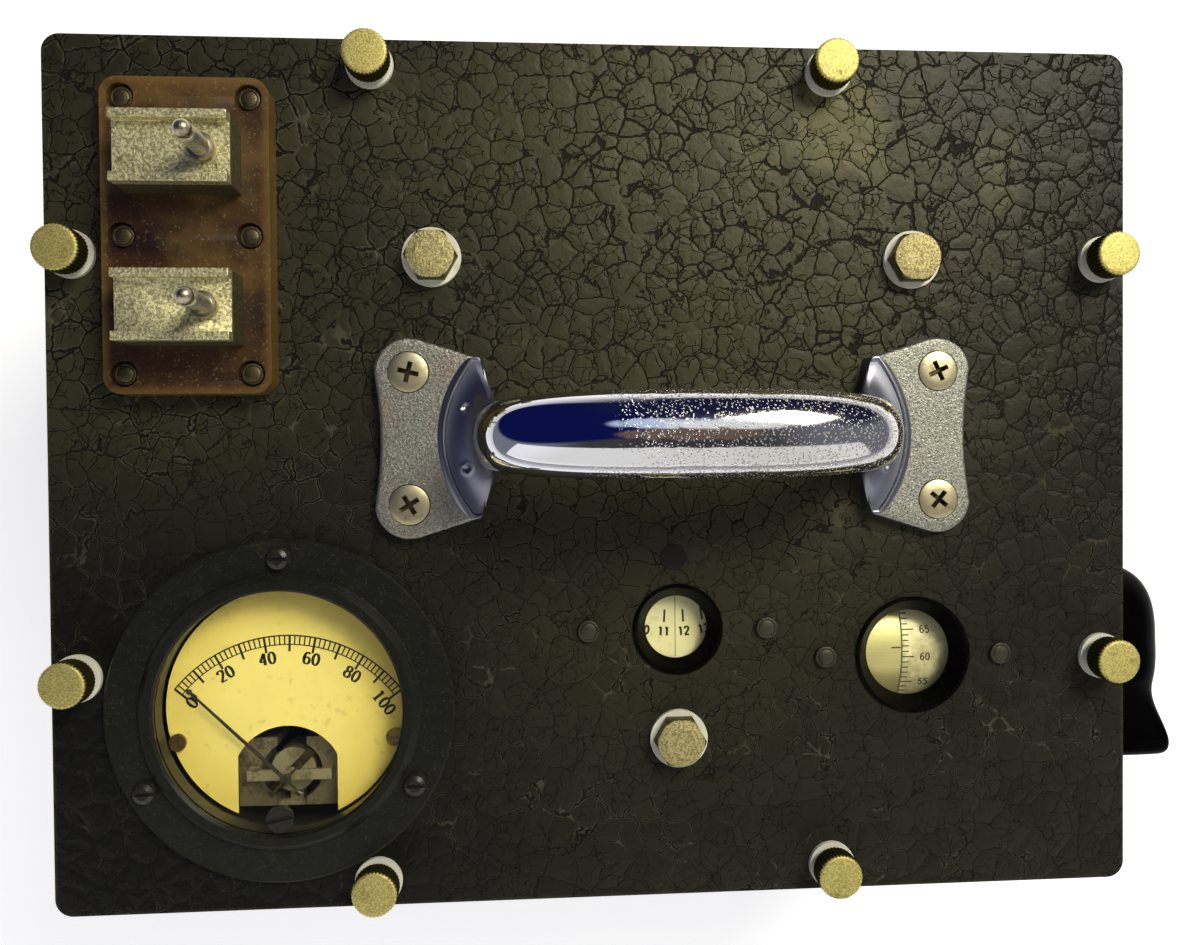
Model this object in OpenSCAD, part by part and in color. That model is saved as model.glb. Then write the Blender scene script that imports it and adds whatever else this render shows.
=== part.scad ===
/* [Case and panel] */
// Length of the case and panel, left to right
case_l = 264; // [256:1:290]
// Width of the case and panel, front to back
case_w = 209; // [204:1:230]
// Height of the case wall below the panel
case_h = 130; // [118:1:150]
// Thickness of the case wall and floor
wall_t = 4; // [3:0.5:5]
// Radius of the upright corners
corner_r = 4.2; // [1:0.5:6]
// Thickness of the panel
panel_t = 5; // [4:0.5:7]
// Radius of a screw boss inside the rim
boss_r = 5.5; // [4.5:0.25:7]
// Depth of a screw boss below the panel
boss_h = 15; // [11:1:17]
/* [Feet] */
// Radius of a foot
foot_r = 9; // [7:0.5:12]
// Height of a foot
foot_h = 6; // [4:0.5:10]
// Distance of a foot's centre from the case sides
foot_inset = 18; // [15:1:30]
// Radius of a foot screw's shank
foot_screw_r = 1.9; // [1.5:0.1:2.5]
/* [Thumbscrews] */
// Radius of the knurled head
thumb_r = 5.4; // [4.5:0.1:7]
// Height of the knurled head
thumb_h = 6.2; // [4.5:0.1:9]
// Height of the plain neck under the head
thumb_neck_h = 1.5; // [0.8:0.1:3]
// Radius of the plain neck
thumb_neck_r = 3.7; // [3:0.1:4.3]
// Number of knurl grooves round a head
knurl_count = 26; // [18:1:36]
// Depth of a knurl groove
knurl_depth = 0.45; // [0.2:0.05:0.7]
// Radius of the screw shank
thumb_shank_r = 2.4; // [2:0.1:2.8]
// Radius of the white washer
thumb_washer_r = 5.7; // [5:0.1:7]
// Thickness of a white washer
washer_t = 1.2; // [0.8:0.1:2]
// Distance of a thumbscrew from the panel's edge
thumb_inset = 6.2; // [6:0.1:7]
// Distance of the short sides' rear thumbscrews from the back edge
thumb_back = 51.8; // [48:0.1:56]
// Distance of the short sides' front thumbscrews from the front edge
thumb_front = 57; // [54:0.1:60]
// Gap between the meter's flange and the washer of the nearest thumbscrew
thumb_clear = 0.7; // [0.5:0.1:3]
/* [Handle] */
// Distance between the two screw rows, along the handle
handle_pitch_l = 129.6; // [120:0.1:140]
// Distance between the two screws of one flange
handle_pitch_w = 31.7; // [28:0.1:36]
// Radius of the lobe round each screw
lobe_r = 8.3; // [7.5:0.1:9.5]
// Thickness of the flange
flange_t = 3.2; // [2.5:0.1:4.5]
// Length of the flange from the screws to its inner end
flange_run = 16; // [14:0.5:17]
// Half width of the flange at its inner end
flange_inner_w = 19.5; // [17:0.5:22]
// Depth of the hollow in the flange's outer edge
flange_hollow = 1.5; // [0.5:0.1:3]
// Height of the crescent rim where the flange meets the leg
crest_h = 1; // [0.5:0.1:1.5]
// How far the crescent rim bulges out over the flange
crest_bulge = 7.2; // [5:0.1:8]
// Height of the hollow between the rim and the leg
foot_rise = 10; // [8:0.5:14]
// Height of the grip's centre line above the panel
grip_h = 33; // [26:0.5:40]
// Half the length of the grip's centre line
grip_half_l = 44.4; // [43:0.1:46]
// Half width of the grip at its middle
grip_half_w = 9.6; // [8:0.1:11]
// Half thickness of the grip at its middle
grip_half_t = 8; // [6:0.1:9]
// Half width of the grip where it bends down
grip_end_w = 7.4; // [6:0.1:9]
// Half thickness of the grip where it bends down
grip_end_t = 6.2; // [5:0.1:7]
// Radius of the handle screws' heads
handle_screw_r = 4.9; // [4:0.1:5.5]
// Radius of the handle screws' shanks
handle_shank_r = 2.1; // [1.8:0.1:2.6]
/* [Coil terminals] */
// Length of the terminal plate, front to back
terminal_l = 73; // [68:0.5:80]
// Width of the terminal plate
terminal_w = 38.1; // [35:0.1:42]
// Thickness of the terminal plate
terminal_t = 6.4; // [5:0.1:8]
// Corner radius of the terminal plate
terminal_r = 4; // [2:0.5:6]
// Distance of the terminal plate from the panel's left end
terminal_left = 15.7; // [13:0.1:18]
// Distance of the terminal plate from the panel's back edge
terminal_back = 12.1; // [10:0.1:14]
// Distance of a terminal rivet from the plate's sides
terminal_rivet_inset = 4.6; // [4:0.1:6]
// Radius of a terminal rivet's head
terminal_rivet_r = 2.6; // [1.6:0.1:2.8]
// Radius of the recess round a terminal rivet
terminal_recess_r = 3.1; // [2.9:0.1:3.3]
// Distance between the two coil blocks
block_pitch = 34.9; // [32:0.1:38]
// Length of a coil block, left to right
block_l = 25.6; // [22:0.1:27]
// Width of a coil block, front to back
block_w = 15.9; // [14:0.1:17]
// Height of a coil block to the top of its lips
block_h = 11.2; // [9:0.1:14]
// Depth of the channel between the lips
channel_d = 2.4; // [1.5:0.1:4]
// Width of the channel between the lips
channel_w = 11.9; // [10:0.1:12.5]
// Radius of a coil plug's shank
plug_r = 2.2; // [1.9:0.05:2.4]
// Length of a coil plug's plain shank
plug_l = 9.5; // [8:0.5:14]
// Distance of a plug from the block's middle
plug_x = 7; // [5:0.1:8.5]
/* [Condenser] */
// Left to right place of the rotor axis from the case middle
rotor_x = 17.6; // [17:0.1:18.4]
// Distance of the rotor axis from the panel's front edge
rotor_front = 113.2; // [112:0.1:114]
// Sideways distance of the two rear posts from the rotor axis
post_dx = 59.2; // [57:0.1:62]
// Distance of the two rear posts behind the rotor axis
post_rear = 43.7; // [41:0.1:46]
// Distance of the front post before the rotor axis
post_front = 74.3; // [72:0.1:77]
// Radius of a post
post_r = 5; // [4:0.25:6]
// Radius of the screws in the posts
post_screw_r = 2.6; // [2.2:0.1:3]
// Thickness of the two end plates
end_plate_t = 6; // [5:0.5:8]
// Thickness of a condenser plate
plate_t = 0.8; // [0.5:0.1:1]
// Distance from one rotor plate to the next
plate_pitch = 4; // [3.6:0.1:4.4]
// Number of rotor plates
rotor_count = 10; // [7:1:12]
// Gap between an insulator and the nearest fixed plate
stack_gap = 1.9; // [1:0.1:3]
// Radius of a rotor plate
rotor_r = 48; // [40:0.5:50]
// Radius of the rotor shaft
shaft_r = 4; // [3:0.1:4.5]
// Radius of a spacer collar on the rotor shaft
collar_r = 7; // [6:0.1:8]
// Running gap between a shaft and its bearing
run_gap = 0.04; // [0.02:0.01:0.08]
// Radius of a stator rod
rod_r = 2; // [1.5:0.1:2.5]
// Radius of a stator spacer
spacer_r = 3.6; // [3:0.1:4.2]
// Radius of an insulator
insulator_r = 6; // [5:0.25:7]
// Height of an insulator
insulator_h = 6; // [5:0.25:7]
/* [Dial and worm drive] */
// Radius of the main dial
dial_r = 56; // [54:0.5:60]
// Thickness of the main dial
dial_t = 1.5; // [1:0.1:2.5]
// Gap between the panel and the main dial
dial_gap = 2; // [1.5:0.1:4]
// Tooth module of the worm wheel
tooth_module = 1.5; // [1.4:0.01:1.6]
// Number of teeth on the worm wheel
wheel_teeth = 60; // [56:1:64]
// Width of the worm wheel's rim
wheel_face = 10; // [8:0.5:11]
// Pitch radius of the worm
worm_pitch_r = 10; // [9.5:0.1:11]
// Length of the worm's thread
worm_l = 30; // [20:1:34]
// Radius of the worm shaft
drive_shaft_r = 3.2; // [2.6:0.1:3.6]
// Radius of the graduated drum
drum_r = 22.4; // [21:0.1:23]
// Length of the graduated drum
drum_l = 17; // [14:0.5:20]
// Length of the fixed index sleeve
sleeve_l = 17; // [14:0.5:18]
// Gap between the index sleeve and the drum
sleeve_gap = 0.4; // [0.3:0.05:0.8]
// Wall of the drum and of the index sleeve
drum_wall = 1.6; // [1.2:0.1:2.5]
// Left to right place of the drum's index edge from the case middle
index_x = 77; // [74:0.1:78]
/* [Crank] */
// Radius of the crank's domed hub at the case
hub_r = 19.4; // [17:0.1:21]
// Height of the domed hub from the case
hub_l = 24; // [23.2:0.1:27]
// Height of the saddle between the hub and the finger grip
saddle_l = 23.1; // [21:0.1:23.2]
// Height of the finger grip from the case
crank_reach = 30.5; // [28:0.5:36]
// Distance of the finger grip from the worm shaft
crank_arm = 30; // [28:0.1:34]
// Radius of the finger grip
finger_r = 6.3; // [6:0.1:8]
// Gap between the crank and the case
crank_gap = 1.2; // [0.6:0.1:2]
/* [Windows] */
// Outer radius of the main dial's window
main_window_r = 11.2; // [10:0.1:12]
// Radius of the opening in the main dial's window
main_open_r = 7.8; // [6.5:0.1:8.5]
// Outer radius of the drum's window
drum_window_r = 14.6; // [13:0.1:15.2]
// Radius of the opening in the drum's window
drum_open_r = 10.8; // [9:0.1:11.5]
// Distance of the main window's middle from the rotor axis
main_window_out = 47.4; // [45:0.1:47.5]
// Half the distance between the main window's rivets
main_rivet_dx = 22.1; // [20:0.1:24]
// Half the distance between the drum window's rivets
drum_rivet_dx = 22.4; // [21:0.1:24]
// Radius of a window rivet's head
rivet_r = 2.7; // [2:0.1:3.2]
// How far a window's rim stands above the panel
bezel_lip = 0.7; // [0.4:0.1:1.2]
/* [Meter] */
// Radius of the meter's flange
meter_r = 41.3; // [40.8:0.1:45]
// Gap between the meter's flange and the line of the left thumbscrews' washers
meter_left = 0.5; // [0.3:0.1:2]
// Distance of the meter's flange from the panel's front edge
meter_front_gap = 7; // [5:0.1:9]
// Thickness of the meter's flange
meter_flange_t = 2.2; // [1.8:0.1:3]
// Width of the meter's flange outside its case
meter_flange_w = 8.8; // [8:0.1:10]
// Width of the raised ring
ring_w = 3.6; // [3:0.1:4.5]
// Height of the raised ring above the panel
ring_h = 4.6; // [4:0.1:6]
// Depth of the meter's case below the panel
meter_depth = 36; // [33:0.5:42]
// Distance of the meter's screws from the flange's edge
meter_screw_inset = 4.7; // [4:0.1:5]
// Radius of a meter screw's head
meter_screw_r = 2.9; // [2.2:0.1:3]
// Distance of the pointer's pivot before the meter's middle
pivot_drop = 17.5; // [17.2:0.1:18.8]
// Length of the pointer from its pivot
pointer_l = 32.4; // [28:0.1:33]
// Depth of the scale plate below the panel's top
scale_depth = 4.6; // [4:0.1:6]
// Radius of the zero corrector's button
zero_r = 3.2; // [2.5:0.1:3.6]
/* [Hidden] */
$fn = 72;
// How far a cutting form runs past a face, and how far one form of a piece sinks into the next
cut = 1;
bite = 0.5;
// Clearances: held together, sliding and loose
seat_gap = 0.02;
slide_gap = 0.1;
hole_gap = 0.3;
// Levels and places that follow from the sizes above
case_x = -crank_reach / 2;
case_side = case_x + case_l / 2;
rim_z = foot_h + case_h;
top_z = rim_z + panel_t;
axis_x = case_x + rotor_x;
rotor_y = rotor_front - case_w / 2;
wheel_pitch_r = tooth_module * wheel_teeth / 2;
drive_distance = wheel_pitch_r + worm_pitch_r;
drive_y = rotor_y - drive_distance;
dial_top = rim_z - dial_gap;
drive_z = dial_top - drum_r;
// Thumbscrews: the long sides' ones stand just clear of the meter's flange
thumb_y = case_w / 2 - thumb_inset;
thumb_end_x = case_l / 2 - thumb_inset;
meter_reach = meter_r + thumb_washer_r + thumb_clear;
meter_front_reach = meter_r + meter_front_gap - thumb_inset;
thumb_x = thumb_end_x - thumb_washer_r - meter_left - meter_r
  - sqrt(meter_reach * meter_reach - meter_front_reach * meter_front_reach);
thumb_places = [for (x = [-1, 1], y = [-1, 1]) each [[case_x + x * thumb_x, y * thumb_y],
  [case_x + x * thumb_end_x, y > 0 ? case_w / 2 - thumb_back : thumb_front - case_w / 2]]];
// Screws, rivets and nuts
foot_recess_r = 4.2;
foot_recess_h = 3;
foot_screw_head_h = 1.6;
foot_edge = 1.5;
slot_w = 0.9;
slot_d = 0.7;
thumb_bevel = 0.9;
thumb_over = 0.3;
thumb_screw_l = 16;
boss_floor = 2;
handle_head_d = 2.4;
handle_crown = 0.6;
handle_nut_h = 3.2;
cross_w = 1;
cross_l = 4.4;
cross_d = 1.2;
cross_turn = 20;
hex_r = 6.4;
hex_h = 4.4;
hex_crown = 0.75;
hex_washer_r = 7.1;
bolt_grip = 12;
nut_r = 4.4;
nut_h = 3;
rivet_shank_r = 1.3;
rivet_h = 1.3;
rivet_tail_h = 0.4;
meter_shank_r = 1.5;
meter_screw_h = 1.9;
// Flanges of the handle: round lobes, a hollow outer edge and sides that lean in
hollow_half = handle_pitch_w / 2;
hollow_r = (hollow_half * hollow_half + flange_hollow * flange_hollow) / (2 * flange_hollow);
lobe_tilt = atan((handle_pitch_w / 2 + lobe_r - flange_inner_w) / flange_run) + 2.5;
lobe_lean = [lobe_r * sin(lobe_tilt), lobe_r * cos(lobe_tilt)];
// Feet and arch of the handle, as rings of points. An outline of a foot holds how far its two tips are
// from the handle's middle, how far it swells outwards and inwards between them, and a power of its
// outer side: the lower the power, the fuller the outline.
grip_sides = 24;
arch_rings = 30;
foot_rings = 6;
arch_power = 0.667;
arch_step = 0.6;
swell_power = 1.6;
foot_w = flange_inner_w - 0.2;
flange_end = handle_pitch_l / 2 - flange_run;
base_outline = [flange_end - 1.2, crest_bulge + 2.2, 1.2, 0.6];
crest_outline = [flange_end + 0.9, crest_bulge, 3.3, 2];
inner_power = 0.35;
crest_z = flange_t + crest_h;
valley_dip = 0.4;
valley_share = 0.1;
leg_z = crest_z - valley_dip + foot_rise;
leg_half_t = 2.8;
// Terminals
terminal_place = [case_x - case_l / 2 + terminal_left + terminal_w / 2,
  case_w / 2 - terminal_back - terminal_l / 2];
plug_places = [for (side = [1, -1]) terminal_place + [plug_x, side * block_pitch / 2]];
terminal_top = top_z + terminal_t;
channel_z = terminal_top + block_h - channel_d;
terminal_clear_r = 7.5;
recess_d = 2;
terminal_dome_r = (terminal_rivet_r * terminal_rivet_r + rivet_h * rivet_h) / (2 * rivet_h) + 0.5;
plug_collar_r = 3.1;
plug_collar_h = 1.4;
plug_groove_r = plug_r - 0.4;
plug_groove = 0.32;
stud_r = 1.8;
stud_drop = 10;
// Wires and lugs
wire_r = 0.9;
wire_side = [0.31, 0.94, 0.12];
wire_sides = 10;
lug_t = 0.6;
lug_r = 3.4;
lug_tab_w = 2.6;
lug_tab_out = 1;
lug_z = top_z - nut_h - lug_t;
lead_out = 3;
lead_drop = 4;
frame_tap = [-7.5, -6];
// Windows and panel plug
glass_t = 1.2;
bezel_seat = 0.9;
bezel_flange = 1.4;
bezel_land = 0.9;
bezel_round = 0.3;
main_window = [axis_x, rotor_y - main_window_out];
drum_window = [case_x + index_x, drive_y];
plug_hole_r = 3.2;
plug_hole = [axis_x - 1, rotor_y - 29.6];
plug_proud = 0.15;
// Meter: glass, scale and case, with heights taken from the panel's top
meter_place = [case_x - case_l / 2 + thumb_inset + thumb_washer_r + meter_left + meter_r,
  meter_r + meter_front_gap - case_w / 2];
meter_case_r = meter_r - meter_flange_w;
ring_r = meter_case_r + 0.1;
ring_open_r = ring_r - ring_w;
meter_screw_circle = meter_r - meter_screw_inset;
meter_glass_r = meter_case_r - 2;
meter_glass_bottom = 1.4;
meter_glass_top = 3.2;
meter_wall = 1.5;
meter_ledge = 1.3;
meter_edge = 0.6;
scale_plate_t = 0.5;
scale_plate_r = meter_case_r - meter_wall - 2.2;
scale_screw_turn = -17.7;
scale_screw = (scale_plate_r - 1.5) * [cos(scale_screw_turn), sin(scale_screw_turn)];
scale_screw_r = 1;
scale_head_r = 2.1;
scale_head_h = 0.9;
arch_half_w = 12;
arch_top = 7;
arch_side_y = arch_top - pivot_drop - 2;
arch_round_r = arch_half_w + 1.5;
arch_shift = -6;
meter_stud = [11, 9];
meter_stud_l = 9;
// Movement of the meter: magnet, poles, core, coil, bridges and pointer
magnet_top = -9;
magnet_h = 12;
magnet_r = meter_case_r - 7.5;
magnet_inner_r = magnet_r - 8;
magnet_low = magnet_top - magnet_h;
magnet_foot_turn = 14;
magnet_foot = (magnet_r + magnet_inner_r) / 2 * [cos(magnet_foot_turn), sin(magnet_foot_turn)];
magnet_foot_r = 3;
core_z = magnet_top - magnet_h / 2;
core_r = 5.5;
core_h = 9.4;
core_arm_w = 3.2;
core_bar_t = 1.6;
pole_bore_r = 7.4;
pole_half_l = 13;
pole_half_w = 8.5;
pole_gap = 3.6;
coil_r = 6.45;
coil_w = 0.9;
coil_depth = 2.2;
coil_half_h = magnet_h / 2 - 0.9;
coil_end = 0.6;
bridge_post_x = pole_bore_r + 1.6;
bridge_post_w = 2.4;
bridge_w = 2.6;
bridge_z = -6.6;
bridge_t = 0.9;
jewel_r = 1.7;
jewel_h = 1.8;
staff_r = 0.6;
staff_end = 1.2;
pointer_angle = 135.8;
pointer_z = -2.4;
pointer_t = 0.4;
pointer_hub_r = 1.4;
pointer_half_w = 0.5;
lance_l = 3.5;
lance_half_w = 0.55;
balance_l = 4.6;
weight_r = 0.8;
weight_l = 1.2;
zero_y = 5.4 - meter_glass_r;
zero_stem_r = 2;
zero_head_h = 1.2;
zero_pin_r = 0.6;
zero_pin_l = 1;
zero_turn = 12;
thermo_y = -6;
thermo_block = [20, 8, 4];
thermo_post_x = 7;
thermo_post_r = 1;
thermo_post_h = 8;
thermo_strip = 0.4;
// Condenser frame
worm_clear = 1.5;
worm_tip_r = worm_pitch_r + tooth_module;
top_plate_z = drive_z - worm_tip_r - worm_clear - end_plate_t;
top_plate_top = top_plate_z + end_plate_t;
stator_h = rotor_count * plate_pitch + plate_t;
bottom_plate_top = top_plate_z - stator_h - 2 * (insulator_h + stack_gap);
bottom_plate_z = bottom_plate_top - end_plate_t;
plate_edge = 9;
post_stud_l = 8;
post_places = [[axis_x - post_dx, rotor_y + post_rear], [axis_x + post_dx, rotor_y + post_rear],
  [axis_x, rotor_y - post_front]];
// Fixed plates, rods and insulators
stack_z = (bottom_plate_top + top_plate_z) / 2;
rotor_stack = (rotor_count - 1) * plate_pitch;
rotor_low = stack_z - rotor_stack / 2 - plate_t / 2;
stator_low = rotor_low - plate_pitch / 2;
stator_top = stator_low + rotor_count * plate_pitch + plate_t;
rod_out = 5;
stator_r = rotor_r + 2;
stator_inner_r = collar_r + 5;
ear_r = 5.5;
ear_root = 3;
rod_angles = [20, 90, 160];
rod_seat = 3;
insulator_edge = 0.8;
// Rotor: bearings, shaft, collars and the turn that the dial reading of the photograph gives
bush_r = 9;
bush_flange_w = 3;
bush_flange_t = 2;
bush_floor = 1;
bush_depth = 3;
end_collar_h = 3;
plate_hub = 2;
rest_reading = 11.62;
dial_numbers = 30;
degrees_per_number = 6;
rotor_turn = (dial_numbers - rest_reading) * degrees_per_number;
dial_hub_r = 9;
// Worm and wheel
axial_pitch = PI * tooth_module;
addendum = tooth_module;
tooth_clearance = 0.25 * tooth_module;
flank_slope = 0.333;
thread_pitch_w = 0.4 * axial_pitch;
gap_pitch_w = 0.53 * axial_pitch;
worm_root_r = worm_pitch_r - addendum - tooth_clearance;
wheel_root_r = wheel_pitch_r - addendum - tooth_clearance;
wheel_rim_r = wheel_pitch_r + addendum + 1;
throat_r = worm_pitch_r - addendum;
lead_angle = atan(axial_pitch / (2 * PI * worm_pitch_r));
thread_segments = 24;
thread_sink = 0.3;
thread_half = floor((worm_l / 2 - thread_pitch_w) / axial_pitch * thread_segments);
wheel_hub_r = 11;
wheel_hub_h = 13;
wheel_web_t = 4;
wheel_rim_in = wheel_root_r - 4.5;
web_hole_r = 8;
// Drive shaft, bearings, sleeve and drum
bearing_t = 6;
bearing_r = 7.5;
bearing_x = worm_l / 2 + 1 + bearing_t / 2;
bearing_foot_w = 9;
bearing_foot_t = 3;
bushing_r = 6;
bushing_flange = 2;
crank_left = case_side + crank_gap;
crank_seat = 15;
shaft_left = axis_x - bearing_x - bearing_t;
shaft_right = crank_left + crank_seat;
sleeve_web_t = 2;
sleeve_neck_r = 6;
sleeve_right = drum_window[0] - sleeve_gap;
sleeve_left = sleeve_right - sleeve_l;
neck_left = axis_x + bearing_x + bearing_t / 2;
drum_hub_r = 7;
drum_hub_l = 4;
drum_edge = 0.6;
// Crank: arched sections along the arm, from the far side of the hub to the finger grip
hub_power = 3.8;
section_power = 2.2;
finger_power = 4.5;
hub_steps = 20;
brow_out = 1.9;
neck_out = 12;
neck_w = sqrt(hub_r * hub_r - neck_out * neck_out);
hub_turn = acos(-neck_out / hub_r);
saddle_out = crank_arm - 15.9;
finger_out = crank_arm + 3.5;
finger_round = 2.5;
roll_out = crank_arm + finger_r - finger_round;
arm_sides = 20;
arm_steps = 12;
tip_steps = 6;
tip_turn = 84;
set_screw_x = 5;
set_screw_r = 1.6;
set_screw_l = 14;

module rounded_plate(l, w, r, h) {
  linear_extrude(height = h) {
    square([l - 2 * r, w], center = true);
    square([l, w - 2 * r], center = true);
    for (x = [-1, 1], y = [-1, 1]) translate([x * (l / 2 - r), y * (w / 2 - r)]) circle(r = r);
  }
}

module at_thumbscrews() {
  for (p = thumb_places) translate([p[0], p[1], top_z]) children();
}

module at_feet() {
  for (x = [-1, 1], y = [-1, 1])
    translate([case_x + x * (case_l / 2 - foot_inset), y * (case_w / 2 - foot_inset), 0]) children();
}

module at_posts(z) {
  for (p = post_places) translate([p[0], p[1], z]) children();
}

module at_handle_screws(z) {
  for (x = [-1, 1], y = [-1, 1])
    translate([axis_x + x * handle_pitch_l / 2, rotor_y + y * handle_pitch_w / 2, z]) children();
}

module at_meter_screws() {
  for (a = [90, 210, 330]) in_meter(0) rotate([0, 0, a]) translate([meter_screw_circle, 0, 0])
    rotate([0, 0, -a]) children();
}

module at_terminal_rivets() {
  for (x = [-1, 1], y = [-1, 0, 1])
    translate([terminal_place[0] + x * (terminal_w / 2 - terminal_rivet_inset),
      terminal_place[1] + y * (terminal_l / 2 - terminal_rivet_inset), top_z]) children();
}

module at_window_rivets() {
  for (x = [-1, 1]) {
    translate([main_window[0] + x * main_rivet_dx, main_window[1], top_z]) children();
    translate([drum_window[0] + x * drum_rivet_dx, drum_window[1], top_z]) children();
  }
}

module at_plugs(z) {
  for (p = plug_places) translate([p[0], p[1], z]) children();
}

module at_rods(z) {
  for (a = rod_angles) translate([axis_x, rotor_y, z]) rotate([0, 0, a])
    translate([stator_r + rod_out, 0, 0]) children();
}

module in_meter(z) {
  translate([meter_place[0], meter_place[1], top_z + z]) children();
}

module on_pivot(z) {
  in_meter(z) translate([0, -pivot_drop, 0]) children();
}

module on_drive(x) {
  translate([x, drive_y, drive_z]) rotate([0, 90, 0]) children();
}

// Closed skin over rings of points, each with the same number of points, split into triangles
module skin(rings) {
  sides = len(rings[0]);
  last = (len(rings) - 1) * sides;
  walls = [for (i = [0 : len(rings) - 2], k = [0 : sides - 1])
    let (a = i * sides + k, b = i * sides + (k + 1) % sides) each [[a, a + sides, b],
      [b, a + sides, b + sides]]];
  start = [for (k = [1 : sides - 2]) [0, k, k + 1]];
  end = [for (k = [1 : sides - 2]) [last, last + k + 1, last + k]];
  polyhedron(points = [for (ring = rings, point = ring) point], faces = concat(start, walls, end),
    convexity = 10);
}

// A bare copper wire through a few points
function unit(v) = v / norm(v);
function wire_way(points, i) = unit((i < len(points) - 1 ? unit(points[i + 1] - points[i]) : [0, 0, 0])
  + (i > 0 ? unit(points[i] - points[i - 1]) : [0, 0, 0]));
function wire_ring(points, i) = let (t = wire_way(points, i), u = unit(cross(t, wire_side)), v = cross(t, u))
  [for (k = [0 : wire_sides - 1]) let (a = 360 * k / wire_sides) points[i] + wire_r * (u * cos(a) + v *
    sin(a))];
module wire(points) {
  skin([for (i = [0 : len(points) - 1]) wire_ring(points, i)]);
}

module washer(r, bore) {
  difference() {
    cylinder(r = r, h = washer_t);
    translate([0, 0, -cut]) cylinder(r = bore, h = washer_t + 2 * cut);
  }
}

module nut(r, h, bore) {
  difference() {
    cylinder(r = r, h = h, $fn = 6);
    translate([0, 0, -cut]) cylinder(r = bore + seat_gap, h = h + 2 * cut);
  }
}

// Cast case: four walls and a floor, with a boss under each thumbscrew
module case() {
  color([0.10, 0.10, 0.09]) difference() {
    union() {
      difference() {
        translate([case_x, 0, foot_h]) rounded_plate(case_l, case_w, corner_r, case_h);
        translate([case_x, 0, foot_h + wall_t])
          rounded_plate(case_l - 2 * wall_t, case_w - 2 * wall_t, corner_r, case_h);
      }
      intersection() {
        at_thumbscrews() translate([0, 0, -panel_t - boss_h]) cylinder(r = boss_r, h = boss_h);
        translate([case_x, 0, foot_h]) rounded_plate(case_l, case_w, corner_r, case_h);
      }
    }
    at_thumbscrews() translate([0, 0, boss_floor - panel_t - boss_h])
      cylinder(r = thumb_shank_r + slide_gap, h = boss_h);
    at_feet() cylinder(r = foot_screw_r + seat_gap, h = foot_h + wall_t + cut);
    on_drive(case_side - wall_t - cut) cylinder(r = bushing_r + seat_gap, h = wall_t + 2 * cut);
  }
}

module feet() {
  color([0.07, 0.07, 0.07]) at_feet() rotate_extrude() difference() {
    polygon([[0, 0], [foot_r - foot_edge, 0], [foot_r, foot_edge], [foot_r, foot_h], [0, foot_h]]);
    square([foot_screw_r + slide_gap, foot_h]);
    square([foot_recess_r, foot_recess_h]);
  }
}

module foot_screws() {
  color([0.55, 0.53, 0.48]) at_feet() translate([0, 0, foot_recess_h - foot_screw_head_h]) difference() {
    union() {
      cylinder(r = foot_recess_r - foot_edge / 4, h = foot_screw_head_h);
      cylinder(r = foot_screw_r, h = foot_h + wall_t + cut - foot_recess_h + foot_screw_head_h);
    }
    cube([2 * foot_recess_r, slot_w, 2 * slot_d], center = true);
  }
}

// Metal panel with every hole that the fittings pass through
module panel() {
  color([0.17, 0.17, 0.15]) difference() {
    translate([case_x, 0, rim_z]) rounded_plate(case_l, case_w, corner_r, panel_t);
    at_thumbscrews() panel_hole(thumb_shank_r + hole_gap);
    at_handle_screws(top_z) panel_hole(handle_shank_r + slide_gap);
    at_posts(top_z) panel_hole(post_screw_r + slide_gap);
    at_meter_screws() panel_hole(meter_shank_r + seat_gap);
    at_terminal_rivets() panel_hole(rivet_shank_r + seat_gap);
    at_window_rivets() panel_hole(rivet_shank_r + seat_gap);
    at_plugs(top_z) panel_hole(terminal_clear_r);
    in_meter(0) panel_hole(meter_case_r + hole_gap);
    translate([main_window[0], main_window[1], top_z]) panel_hole(main_window_r - bezel_flange + seat_gap);
    translate([drum_window[0], drum_window[1], top_z]) panel_hole(drum_window_r - bezel_flange + seat_gap);
    translate([plug_hole[0], plug_hole[1], top_z]) panel_hole(plug_hole_r + seat_gap);
  }
}

module panel_hole(r) {
  translate([0, 0, -panel_t - cut]) cylinder(r = r, h = panel_t + 2 * cut);
}

// Knurled head with bevelled rims, a plain neck and a screw
module thumbscrew() {
  bevel_r = thumb_r - thumb_bevel;
  over_r = thumb_r + thumb_over;
  over_h = thumb_bevel + thumb_over;
  translate([0, 0, thumb_neck_h]) intersection() {
    linear_extrude(height = thumb_h) polygon([for (i = [0 : 2 * knurl_count - 1])
      let (a = 180 * i / knurl_count, r = thumb_r - (i % 2) * knurl_depth) [r * cos(a), r * sin(a)]]);
    rotate_extrude() polygon([[0, 0], [bevel_r, 0], [over_r, over_h], [over_r, thumb_h - over_h],
      [bevel_r, thumb_h], [0, thumb_h]]);
  }
  cylinder(r = thumb_neck_r, h = thumb_neck_h + bite);
  translate([0, 0, -thumb_screw_l]) cylinder(r = thumb_shank_r, h = thumb_screw_l + bite);
}

module panel_thumbscrews() {
  color([0.78, 0.75, 0.68]) at_thumbscrews() translate([0, 0, washer_t]) thumbscrew();
}

module thumbscrew_washers() {
  color([0.90, 0.89, 0.84]) at_thumbscrews() washer(thumb_washer_r, thumb_shank_r + slide_gap);
}

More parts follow.
